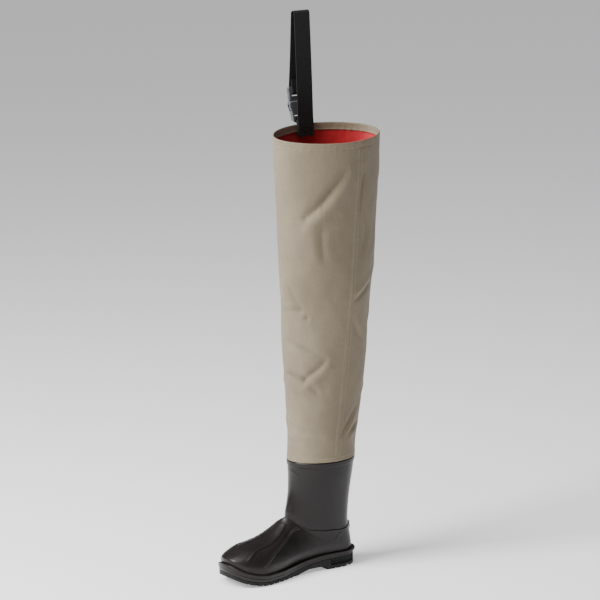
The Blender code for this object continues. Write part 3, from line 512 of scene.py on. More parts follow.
class Shader:
    """A material's nodes, with short calls that add and join them."""

    def __init__(self, name: str) -> None:
        """Start a material with its one Principled shader.

        Args:
            name: The material's name.
        """
        self.material = bpy.data.materials.new(name)
        self.material.use_nodes = True
        self.tree = self.material.node_tree
        self.surface = self.tree.nodes["Principled BSDF"]

    def add(self, kind: str, inputs: dict[str | int, object] | None = None,
            **settings: object) -> bpy.types.Node:
        """Add a node.

        Args:
            kind: Blender's name of the node.
            inputs: Values or other nodes' outputs for its sockets.
            settings: Values of the node's own properties.

        Returns:
            The node.
        """
        node = self.tree.nodes.new(kind)
        for key, value in settings.items():
            setattr(node, key, value)
        for key, value in (inputs or {}).items():
            self.put(node.inputs[key], value)
        return node

    def put(self, socket: Socket, value: object) -> None:
        """Set a socket's value, or join another node's output to it.

        Args:
            socket: The input.
            value: A plain value, or another node's output.
        """
        if isinstance(value, Socket):
            self.tree.links.new(value, socket)
        else:
            socket.default_value = value

    def set(self, name: str, value: object) -> None:
        """Set or join an input of the Principled shader."""
        self.put(self.surface.inputs[name], value)

    def math(self, operation: str, *values: object) -> Socket:
        """Output of a Math node on up to three values."""
        node = self.add("ShaderNodeMath", dict(enumerate(values)), operation=operation)
        return node.outputs[0]

    def noise(self, place: Socket, scale: float, detail: float = 2.0,
              rough: float = 0.5) -> Socket:
        """Noise from 0 to 1 at a scale in lumps a metre."""
        node = self.add("ShaderNodeTexNoise", {"Vector": place, "Scale": scale, "Detail": detail,
                                               "Roughness": rough})
        return node.outputs["Fac"]

    def between(self, value: object, low: float, high: float, out_low: float,
                out_high: float) -> Socket:
        """A value's range carried over to another, smoothly and clamped."""
        node = self.add("ShaderNodeMapRange", {"Value": value, "From Min": low, "From Max": high,
                                               "To Min": out_low, "To Max": out_high},
                        interpolation_type="SMOOTHSTEP")
        return node.outputs["Result"]

    def blend(self, share: object, first: Colour | Socket,
              second: Colour | Socket) -> Socket:
        """Colour that goes from the first to the second with the share.

        Args:
            share: 0 for the first and 1 for the second.
            first: A colour or a node's output.
            second: The same.

        Returns:
            The blended colour.
        """
        node = self.add("ShaderNodeMix", data_type="RGBA")
        ends = [(*end, 1.0) if isinstance(end, tuple) else end for end in (first, second)]
        for key, value in zip((0, 6, 7), (share, *ends)):
            self.put(node.inputs[key], value)
        return node.outputs[2]

    def bump(self, height: Socket, depth: float,
             below: Socket | None = None) -> Socket:
        """Normal of a surface with a height from 0 to 1 that is worth depth metres.

        Args:
            height: The height's output.
            depth: What a height of 1 is worth.
            below: Normal of the coarser bumps that it lies on.

        Returns:
            The normal.
        """
        inputs: dict[str | int, object] = {"Height": height, "Distance": depth, "Strength": 1.0}
        if below is not None:
            inputs["Normal"] = below
        return self.add("ShaderNodeBump", inputs).outputs["Normal"]

    def mark(self, name: str) -> Socket:
        """A named point value of the piece."""
        return self.add("ShaderNodeAttribute", attribute_name=name).outputs["Fac"]

    @property
    def object_place(self) -> Socket:
        """Place in the wader's own frame."""
        return self.add("ShaderNodeTexCoord").outputs["Object"]

    def pattern_place(self) -> tuple[Socket, Socket]:
        """The pattern coordinates across and along, in metres."""
        split = self.add("ShaderNodeSeparateXYZ", {0: self.add("ShaderNodeTexCoord").outputs["UV"]})
        return split.outputs[0], split.outputs[1]


@dataclass(frozen=True)
class WovenFinish:
    """Plain weave with a thin coating: threads, slubs, soft stains, painted shade and highlight on folds.

    The weave's height is sin(across) x sin(along), whose crests alternate as the threads do. Its low
    places get painted shade.
    """

    name: str
    colour: Colour
    shade: Colour
    thread: float = 0.9 * MM
    depth: float = 0.10 * MM
    roughness: float = 0.66
    sheen: float = 0.12
    # whether the fold mark paints shade into the troughs and a highlight onto the crests
    folds: bool = False

    def material(self) -> Material:
        """Build the material.

        Returns:
            The material.
        """
        shader = Shader(self.name)
        across, along = shader.pattern_place()
        place = shader.object_place
        pitch = 2 * math.pi / (2 * self.thread)
        warp = shader.math("SINE", shader.math("MULTIPLY", across, pitch))
        weft = shader.math("SINE", shader.math("MULTIPLY", along, pitch))
        weave = shader.math("MULTIPLY_ADD", shader.math("MULTIPLY", warp, weft), 0.5, 0.5)
        stretched = shader.add("ShaderNodeCombineXYZ", {0: shader.math("MULTIPLY", across, 9.0), 1: along})
        slubs = shader.noise(stretched.outputs[0], 260.0, 3.0, 0.6)
        cloud = shader.noise(place, 9.0, 4.0, 0.55)
        grain = shader.noise(place, 420.0, 2.0, 0.7)
        tone = shader.math("ADD", shader.between(cloud, 0.35, 0.70, 0.0, 0.26),
                           shader.between(slubs, 0.3, 0.75, 0.0, 0.22))
        # painted shade: the weave's low places are darker
        tone = shader.math("ADD", tone, shader.between(weave, 0.0, 1.0, 0.16, 0.0))
        tone = shader.math("ADD", tone, shader.between(grain, 0.3, 0.7, 0.0, 0.12))
        # painted shade in the fold troughs and a painted highlight on the fold crests
        if self.folds:
            fold = shader.mark("fold")
            tone = shader.math("ADD", tone, shader.between(fold, -1.0, 0.0, 0.20, 0.0))
            tone = shader.math("SUBTRACT", tone, shader.between(fold, 0.0, 1.0, 0.0, 0.12))
        tone = shader.math("MAXIMUM", tone, 0.0)
        shader.set("Base Color", shader.blend(tone, self.colour, self.shade))
        rough = shader.between(cloud, 0.3, 0.7, self.roughness - 0.05, self.roughness + 0.06)
        shader.set("Roughness", rough)
        shader.set("Sheen Weight", self.sheen)
        shader.set("Sheen Roughness", 0.45)
        shader.set("Specular IOR Level", 0.38)
        crumple = shader.noise(place, 46.0, 4.0, 0.6)
        soft = shader.bump(crumple, 1.3 * MM)
        fine = shader.bump(weave, self.depth, soft)
        shader.set("Normal", shader.bump(slubs, 0.05 * MM, fine))
        return shader.material


@dataclass(frozen=True)
class RubberFinish:
    """Moulded rubber: satin skin, faint flow marks, rubbed places, dust low down and a light bloom.

    The colour goes to the rubbed one with the bloom plus scuffs times cloud, and to dust near the floor.
    """

    name: str
    colour: Colour
    rubbed: Colour
    dust: Colour
    roughness: float
    specular: float = 0.24
    grain: float = 0.03 * MM
    dust_top: float = 60 * MM
    dust_share: float = 0.10

    def material(self) -> Material:
        """Build the material.

        Returns:
            The material.
        """
        shader = Shader(self.name)
        place = shader.object_place
        height = shader.add("ShaderNodeSeparateXYZ", {0: place}).outputs[2]
        cloud = shader.noise(place, 16.0, 4.0, 0.55)
        speck = shader.noise(place, 900.0, 2.0, 0.6)
        scuffs = shader.add("ShaderNodeTexNoise", {"Vector": place, "Scale": 70.0, "Detail": 6.0,
                                                   "Roughness": 0.7, "Distortion": 1.6}).outputs["Fac"]
        bloom = shader.between(cloud, 0.40, 0.72, 0.0, 0.30)
        rub = shader.math("MULTIPLY", shader.between(scuffs, 0.60, 0.74, 0.0, 0.35), cloud)
        colour = shader.blend(shader.math("ADD", bloom, rub), self.colour, self.rubbed)
        low = shader.math("MULTIPLY", shader.between(height, 0.0, self.dust_top, self.dust_share, 0.0),
                          shader.between(scuffs, 0.35, 0.65, 0.4, 1.0))
        shader.set("Base Color", shader.blend(low, colour, self.dust))
        satin = shader.between(cloud, 0.3, 0.7, self.roughness - 0.05, self.roughness + 0.07)
        rough = shader.math("ADD", satin, shader.between(scuffs, 0.55, 0.75, 0.0, 0.12))
        shader.set("Roughness", rough)
        shader.set("Specular IOR Level", self.specular)
        soft = shader.bump(shader.noise(place, 30.0, 3.0, 0.5), 0.35 * MM)
        shader.set("Normal", shader.bump(speck, self.grain, soft))
        return shader.material


@dataclass(frozen=True)
class WebbingFinish:
    """Woven strap: a herringbone of thick yarns."""

    name: str
    colour: Colour
    lit: Colour
    yarn: float = 1.7 * MM

    def material(self) -> Material:
        """Build the material.

        A stripe is the place across, folded back and forth every two yarns. The yarns are the sine of the
        place along plus 1.2 stripes, so they lean one way on each half of it.

        Returns:
            The material.
        """
        shader = Shader(self.name)
        across, along = shader.pattern_place()
        stripe = shader.math("PINGPONG", across, self.yarn * 2)
        lean = shader.math("ADD", along, shader.math("MULTIPLY", stripe, 1.2))
        yarns = shader.math("SINE", shader.math("MULTIPLY", lean, 2 * math.pi / self.yarn))
        yarns = shader.math("MULTIPLY_ADD", yarns, 0.5, 0.5)
        ribs = shader.math("ABSOLUTE", shader.math("SINE", shader.math("MULTIPLY", across,
                                                                        math.pi / (2 * self.yarn))))
        height = shader.math("ADD", shader.math("MULTIPLY", yarns, 0.6), shader.math("MULTIPLY", ribs, 0.5))
        fuzz = shader.noise(shader.object_place, 700.0, 3.0, 0.7)
        tone = shader.math("ADD", shader.between(height, 0.2, 1.1, 0.0, 0.55),
                           shader.between(fuzz, 0.35, 0.75, 0.0, 0.35))
        shader.set("Base Color", shader.blend(tone, self.colour, self.lit))
        shader.set("Roughness", 0.82)
        shader.set("Sheen Weight", 0.06)
        shader.set("Sheen Roughness", 0.5)
        shader.set("Specular IOR Level", 0.3)
        coarse = shader.bump(height, 0.22 * MM)
        shader.set("Normal", shader.bump(fuzz, 0.05 * MM, coarse))
        return shader.material


@dataclass(frozen=True)
class PlasticFinish:
    """Moulded buckle plastic with a spark-eroded grain and faint handling marks."""

    name: str
    colour: Colour
    worn: Colour
    roughness: float = 0.42

    def material(self) -> Material:
        """Build the material.

        Returns:
            The material.
        """
        shader = Shader(self.name)
        place = shader.object_place
        grain = shader.noise(place, 1500.0, 2.0, 0.6)
        wear = shader.noise(place, 140.0, 5.0, 0.65)
        worn = shader.between(wear, 0.45, 0.75, 0.0, 0.6)
        shader.set("Base Color", shader.blend(worn, self.colour, self.worn))
        shader.set("Roughness", shader.between(wear, 0.3, 0.7, self.roughness - 0.06, self.roughness + 0.10))
        shader.set("Normal", shader.bump(grain, 0.03 * MM))
        return shader.material


@dataclass(frozen=True)
class ThreadFinish:
    """Twisted sewing thread, its plies wound round it."""

    name: str
    colour: Colour
    shade: Colour

    def material(self) -> Material:
        """Build the material.

        Returns:
            The material.
        """
        shader = Shader(self.name)
        across, along = shader.pattern_place()
        twist = shader.math("SINE", shader.math("MULTIPLY", shader.math("ADD", across, along), 9000.0))
        lit = shader.between(twist, -1.0, 1.0, 0.0, 1.0)
        shader.set("Base Color", shader.blend(lit, self.shade, self.colour))
        shader.set("Roughness", 0.7)
        shader.set("Sheen Weight", 0.2)
        shader.set("Normal", shader.bump(twist, 0.05 * MM))
        return shader.material


@dataclass
class Finishes:
    """Every material of the wader, made once."""

    # the khaki cloth gets painted shade in its fold troughs and a painted highlight on its crests
    khaki: Material = field(default_factory=lambda: WovenFinish(
        "khaki_coated_nylon", (0.225, 0.182, 0.122), (0.100, 0.079, 0.052), folds=True).material())
    red: Material = field(default_factory=lambda: WovenFinish(
        "red_lining", (0.390, 0.011, 0.016), (0.220, 0.006, 0.009), thread=0.7 * MM,
        roughness=0.6).material())
    brown: Material = field(default_factory=lambda: RubberFinish(
        "brown_boot_rubber", (0.0088, 0.0068, 0.0068), (0.020, 0.0155, 0.0155), (0.075, 0.060, 0.048),
        roughness=0.33).material())
    black: Material = field(default_factory=lambda: RubberFinish(
        "black_sole_rubber", (0.0035, 0.0035, 0.0038), (0.010, 0.010, 0.010), (0.040, 0.035, 0.030),
        roughness=0.55, grain=0.06 * MM, dust_top=20 * MM, dust_share=0.08).material())
    foam: Material = field(default_factory=lambda: WovenFinish(
        "grey_footbed", (0.110, 0.100, 0.095), (0.055, 0.050, 0.048), thread=1.2 * MM,
        roughness=0.85).material())
    webbing: Material = field(default_factory=lambda: WebbingFinish(
        "black_webbing", (0.0026, 0.0028, 0.0028), (0.0085, 0.0090, 0.0086)).material())
    plastic: Material = field(default_factory=lambda: PlasticFinish(
        "grey_buckle_plastic", (0.060, 0.062, 0.068), (0.095, 0.097, 0.105)).material())
    beige_thread: Material = field(default_factory=lambda: ThreadFinish(
        "beige_thread", (0.400, 0.350, 0.270), (0.250, 0.215, 0.160)).material())
    black_thread: Material = field(default_factory=lambda: ThreadFinish(
        "black_thread", (0.020, 0.020, 0.021), (0.008, 0.008, 0.008)).material())


# The sole unit

@dataclass(frozen=True)
class SolePlan:
    """The sole's plan and the heights of its layers along the foot."""

    length: float = 297 * MM
    ball_width: float = 112 * MM
    heel_back: float = 38 * MM
    heel_tread: float = 22 * MM
    band_height: float = 12 * MM
    toe_spring: float = 19 * MM
    arch_rise: float = 7 * MM

    def edge(self, v: Array, inset: Array | float = 0.0) -> Array:
        """Plan points of the sole's edge, moved in by the inset.

        Args:
            v: 0 to 1 up the inner side from heel to toe, and 1 to 2 back down the outer side.
            inset: Distance inwards, one or one for each v.

        Returns:
            x and y of each point.
        """
        small = 0.004
        tangent = self.raw_edge(v + small) - self.raw_edge(v - small)
        tangent /= np.linalg.norm(tangent, axis=-1, keepdims=True)
        outward = np.stack([-tangent[..., 1], tangent[..., 0]], axis=-1)
        return self.raw_edge(v) - outward * np.reshape(inset, (-1, 1))

    def raw_edge(self, v: Array) -> Array:
        """Plan points of the sole's edge itself.

        The station is (1 - cos(pi x turn)) / 2 of the length, and x the outline's share of the ball's width.

        Args:
            v: Edge parameters, as for edge.

        Returns:
            x and y of each point.
        """
        v = np.mod(v, 2.0)
        turn = np.where(v <= 1.0, v, 2.0 - v)
        medial = smooth(OUTLINE["turn"], OUTLINE["medial"], turn)
        lateral = smooth(OUTLINE["turn"], OUTLINE["lateral"], turn)
        x = self.ball_width * np.where(v <= 1.0, medial, -lateral)
        y = self.heel_back - self.length * (1 - np.cos(np.pi * turn)) / 2
        return np.stack([x, y], axis=-1)

    @staticmethod
    def turn_at(station: Array) -> Array:
        """Edge parameter at a station: the angle whose cosine is 1 - 2 x station, over pi."""
        return np.arccos(1 - 2 * np.asarray(station)) / np.pi

    def station(self, y: Array) -> Array:
        """Share of the way from the heel's back to the toe."""
        return np.clip((self.heel_back - y) / self.length, 0.0, 1.0)

    def spring(self, at: Array) -> Array:
        """Lift of the sole's underside at the toe."""
        return self.toe_spring * np.maximum(smooth(HEIGHTS["station"], HEIGHTS["spring"], at), 0.0)

    def ground(self, at: Array) -> Array:
        """Height of the sole's underside."""
        return self.spring(at) + self.arch_rise * np.interp(at, ARCH["station"], ARCH["rise"])

    def seam(self, at: Array) -> Array:
        """Height of the joint between outsole and band."""
        return self.spring(at) + self.heel_tread * smooth(HEIGHTS["station"], HEIGHTS["tread"], at)

    def ledge(self, at: Array) -> Array:
        """Height of the band's top, on which the upper stands."""
        return self.seam(at) + self.band_height * smooth(HEIGHTS["station"], HEIGHTS["band"], at)

    def nearest(self, points: Array, inset: float) -> tuple[Array, Array]:
        """Nearest places on the sole's edge.

        Args:
            points: n x 3.
            inset: How far inside the edge the line runs.

        Returns:
            x and y of the nearest places, and the distances to them.
        """
        line = self.edge(np.linspace(0.0, 2.0, 1441)[:-1], inset)
        found = np.empty((len(points), 2))
        far = np.empty(len(points))
        for part in np.array_split(np.arange(len(points)), max(1, len(points) // 4000)):
            offset = line[None] - points[part, None, :2]
            distance = np.einsum("ijk,ijk->ij", offset, offset)
            best = np.argmin(distance, axis=1)
            found[part] = line[best]
            far[part] = np.sqrt(distance[np.arange(len(part)), best])
        return found, far


@dataclass
class SoleUnit:
    """Black outsole with lugs and ribbed heel window, and the brown band above it."""

    plan: SolePlan
    finishes: Finishes
    lug_pitch: float = 14 * MM
    groove_width: float = 5 * MM
    groove_depth: float = 3.5 * MM
    chamfer: float = 1.5 * MM
    chamfer_line: Profile = ((1.0, 0.0), (0.45, 0.25), (0.12, 0.65), (0.0, 1.0))
    window: tuple[float, float] = (0.045, 0.235)
    window_rim: float = 0.0025
    window_line: Profile = (
        (0.0, 0.34), (0.15, 0.36), (0.85, 0.38), (1.0, 0.41), (1.0, 0.64), (1.0, 0.87), (0.85, 0.90),
        (0.15, 0.92), (0.0, 0.94))
    window_depth: float = 3 * MM
    window_rib: float = 1.4 * MM
    window_pitch: float = 3.3 * MM
    upper_inset: float = 3.6 * MM
    lip_clearance: float = 0.2 * MM
    bulge: float = 1.8 * MM
    heel_lip: float = 2.2 * MM
    lip_height: float = 2 * MM
    heel_share: float = 0.09
    bead_foot: float = 0.54
    bead_shoulder: float = 0.66
    window_steps: int = 240
    outsole_steps: int = 150
    band_steps: int = 240

    def slab(self, name: str, v: Array, loops: Sequence[tuple[Array | float, Array]],
             finish: Material) -> Object:
        """A sole layer from loops round the foot, closed by ruled caps.

        Each loop is the edge moved in by its inset, at its own heights, and a cap joins the two
        sides of the first or last loop station by station.

        Args:
            name: The piece's name.
            v: Edge parameters, the same stations on both sides.
            loops: (inset, heights) from bottom to top.
            finish: Its material.

        Returns:
            The piece.
        """
        rings = [np.column_stack([self.plan.edge(v, inset), height]) for inset, height in loops]
        count = len(v)
        length = np.concatenate([[0.0], np.cumsum(np.linalg.norm(
            np.diff(self.plan.edge(np.append(v, 2.0)), axis=0), axis=1))])
        run = np.concatenate([[0.0], np.cumsum([np.linalg.norm(a - b, axis=1).mean()
                                                for a, b in zip(rings, rings[1:])])])
        uv = np.stack(np.broadcast_arrays(length[None, :], run[:, None]), axis=-1)
        side = grid(np.stack(rings), uv)
        half = count // 2
        step = np.arange(half)
        cap = np.stack([step, step + 1, (count - step - 1) % count, (count - step) % count], axis=1)
        base = cap
        top = cap[:, ::-1] + (len(rings) - 1) * count
        caps = np.concatenate([base, top])
        flat_uv = side.points[caps][:, :, :2]
        whole = Surface(side.points, np.concatenate([side.faces, caps]), np.concatenate([side.uv, flat_uv]))
        return piece(name, whole, [finish], sharp=38.0)

    def stations(self, count: int, extra: Array | None = None) -> Array:
        """Edge parameters of a loop, even along it, the same stations on both sides.

        Args:
            count: Usual number of stations on a side.
            extra: Turns that get a station too.

        Returns:
            The parameters, once round.
        """
        turn = np.linspace(0.0, 1.0, count)
        if extra is not None:
            turn = np.unique(np.round(np.concatenate([turn, extra]), 6))
        return np.concatenate([turn, 2.0 - turn[-2:0:-1]])

    def build_outsole(self) -> Object:
        """Outsole: chamfered foot, ribbed window in the heel's side, rounded upper edge, cut lugs.

        The window's floor is a cosine of the station, so its ribs are round. A loop's inset and height
        are shares of the chamfer, or of the window's recess and the outsole's depth.

        Returns:
            The piece.
        """
        rim, (start, stop) = self.window_rim, self.window
        fine = self.plan.turn_at(np.linspace(start - 2 * rim, stop + 2 * rim, self.window_steps))
        arch = self.plan.turn_at(ARCH["station"][1:-1])
        v = self.stations(self.outsole_steps, np.concatenate([fine, arch]))
        at = self.plan.station(self.plan.edge(v)[:, 1])
        ribs = max(1, round((stop - start) * self.plan.length / self.window_pitch))
        phase = (at - start) / (stop - start) * ribs * 2 * np.pi
        crest = 0.5 - 0.5 * np.cos(phase)
        inside = rise(at, start - rim, start) * (1 - rise(at, stop, stop + rim))
        recess = inside * (self.window_depth - self.window_rib * crest)
        ground, seam = self.plan.ground(at), self.plan.seam(at)
        deep = seam - ground
        loops = [
            *((self.chamfer * inset, ground + self.chamfer * up) for inset, up in self.chamfer_line),
            *((recess * inset, ground + deep * up) for inset, up in self.window_line),
            (0.0, seam - 0.5 * MM),
            (0.3 * MM, seam - 0.1 * MM),
            (1.0 * MM, seam),
        ]
        outsole = self.slab("rubber_outsole", v, loops, self.finishes.black)
        cut(outsole, [self.grooves()])
        outsole.data.set_sharp_from_angle(angle=math.radians(32))
        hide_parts("outsole")
        return outsole

    def grooves(self) -> Object:
        """Bars across heel and forefoot that cut the lugs apart.

        One bar lies halfway between every two lugs, and its top follows the ground line.

        Returns:
            The cutters.
        """
        plan = self.plan
        first = math.ceil((plan.heel_back - plan.length) / self.lug_pitch)
        last = math.floor(plan.heel_back / self.lug_pitch)
        y = (np.arange(first, last + 1) + 0.5) * self.lug_pitch
        at = plan.station(y)
        y = y[((at > 0.03) & (at < 0.24)) | ((at > 0.52) & (at < 0.95))]
        top = plan.ground(plan.station(y)) + self.groove_depth
        half = self.groove_width / 2
        spans = [((-plan.ball_width, plan.ball_width), (a - half, a + half), (-self.groove_depth, b))
                 for a, b in zip(y, top)]
        return boxes(spans, Matrix.Identity(4))

    def build_band(self) -> Object:
        """Band: a flat lower face, a round bead above it that widens into the heel's lip, and its top.

        The bead is a quarter circle below and another above.

        Returns:
            The piece.
        """
        v = self.stations(self.band_steps)
        at = self.plan.station(self.plan.edge(v)[:, 1])
        seam, ledge = self.plan.seam(at) + GAP, self.plan.ledge(at)
        tall = ledge - seam
        bulge = -self.bulge - self.heel_lip * fade(at / self.heel_share)
        lip = ledge + self.lip_height
        skirt = -0.3 * MM
        foot = seam + tall * self.bead_foot
        shoulder = seam + tall * self.bead_shoulder
        quarter = np.linspace(0, np.pi / 2, 5)
        under = [(skirt + (bulge - skirt) * np.sin(t), foot + (shoulder - foot) * (1 - np.cos(t)))
                 for t in quarter[1:]]
        soft = 1.5 * MM
        over = [(bulge + soft * (1 - np.cos(t)), lip - soft + soft * np.sin(t)) for t in quarter]
        inner = self.upper_inset - GAP - self.lip_clearance
        loops = [
            (0.9 * MM, seam),
            (0.1 * MM, seam + 0.35 * MM),
            (skirt, seam + 1.2 * MM),
            (skirt, foot - 0.9 * MM),
            (skirt + 0.55 * MM, foot - 0.3 * MM),
            (skirt, foot),
            *under,
            *over,
            (inner - 1.2 * MM, lip),
            (inner - 0.5 * MM, lip - 0.25 * MM),
            (inner, lip - 0.9 * MM),
            (inner, ledge),
        ]
        band = self.slab("foxing_band", v, loops, self.finishes.brown)
        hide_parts("midsole_band")
        return band


# The boot's upper

@dataclass
class Last:
    """The last that the boot is moulded on, as sections from the toe (row 0) to the rim (row 25)."""

    plan: SolePlan
    instep_height: float = 113.5 * MM
    ankle_back: float = 76 * MM
    rim_height: float = 218 * MM
    seat_blend: float = 22 * MM
    seat_reach: float = 9 * MM
    seat_fade: float = 8 * MM
    row_step: float = 0.05
    turn_step: float = 0.5
    sections: Table = field(init=False)
    rows: Array = field(init=False)

    def __post_init__(self) -> None:
        """Turn the tables of shares into metres."""
        crown_rise = self.instep_height + SHAFT["rise_crown"] * (self.rim_height - self.instep_height)
        base_rise = self.ankle_back + SHAFT["rise_base"] * (self.rim_height - self.ankle_back)
        join = np.concatenate
        plan = self.plan
        self.sections = {
            "crown_y": plan.heel_back - plan.length * join([FOOT["crown_y"], SHAFT["crown_y"]]),
            "base_y": plan.heel_back - plan.length * join([FOOT["base_y"], SHAFT["base_y"]]),
            "crown_z": join([self.instep_height * FOOT["crown_z"], crown_rise]),
            "base_z": join([self.ankle_back * FOOT["base_z"], base_rise]),
            "centre": plan.ball_width * join([FOOT["centre"], SHAFT["centre"]]),
            "half": plan.ball_width * join([FOOT["half"], SHAFT["half"]]),
        }
        for key in ("belly", "base_power", "crown_power", "sag"):
            self.sections[key] = join([FOOT[key], SHAFT[key]])
        self.rows = np.arange(len(self.sections["half"]), dtype=float)

    def point(self, row: Array, angle: Array) -> Array:
        """Points of the last.

        A section runs in the slanted plane between its base and its crown: across as the sine of the
        angle, and between base and crown as a superellipse share.

        Args:
            row: Section numbers.
            angle: Section angles in degrees.

        Returns:
            Points, with a last axis of 3.
        """
        row, angle = np.broadcast_arrays(np.asarray(row, dtype=float), np.asarray(angle, dtype=float))
        value = {key: smooth(self.rows, column, row) for key, column in self.sections.items()}
        turn = np.radians(angle)
        lift = np.cos(turn)
        down = value["belly"] * (1 - np.abs(lift) ** (2 / value["base_power"]))
        up = value["belly"] + (1 - value["belly"]) * np.abs(lift) ** (2 / value["crown_power"])
        share = np.where(lift < 0, down, up)
        x = value["centre"] + value["half"] * np.sin(turn)
        y = value["base_y"] + share * (value["crown_y"] - value["base_y"])
        z = value["base_z"] + share * (value["crown_z"] - value["base_z"])
        z = z - self.instep_height * value["sag"] * np.abs(np.sin(turn))
        return np.stack([x, y, z], axis=-1)

    def normal(self, row: Array, angle: Array) -> Array:
        """Outward unit directions of the last's surface.

        The cross product of a short step round the section and one along the rows.

        Args:
            row: Section numbers.
            angle: Section angles in degrees.

        Returns:
            Directions, with a last axis of 3.
        """
        row, angle = np.broadcast_arrays(np.asarray(row, dtype=float), np.asarray(angle, dtype=float))
        row = np.clip(row, 3 * self.row_step, self.rows[-1])
        along = self.point(row + self.row_step, angle) - self.point(row - self.row_step, angle)
        around = self.point(row, angle + self.turn_step) - self.point(row, angle - self.turn_step)
        normal = np.cross(around, along)
        return normal / np.linalg.norm(normal, axis=-1, keepdims=True)

    def spacing(self, row: Array, angle: Array) -> Array:
        """Metres from one section to the next."""
        step = self.point(row + self.row_step, angle) - self.point(row - self.row_step, angle)
        return np.linalg.norm(step, axis=-1) / (2 * self.row_step)

    def seat(self, points: Array, inset: float) -> Array:
        """Draw the wall near the ledge onto the sole's outline, so that it stands on the band.

        Args:
            points: Any shape with a last axis of 3.
            inset: How far inside the sole's edge the wall stands.

        Returns:
            The moved points.
        """
        flat = points.reshape(-1, 3).copy()
        found, far = self.plan.nearest(flat, inset)
        lift = flat[:, 2] - self.plan.ledge(self.plan.station(flat[:, 1]))
        weight = fade((far - self.seat_reach) / self.seat_fade) * fade(lift / self.seat_blend)
        flat[:, :2] += weight[:, None] * (found - flat[:, :2])
        return flat.reshape(points.shape)


@dataclass(frozen=True)
class Ridge:
    """A moulded line on the boot through (row, angle) points."""

    route: tuple[tuple[float, float], ...]
    height: float
    width: float


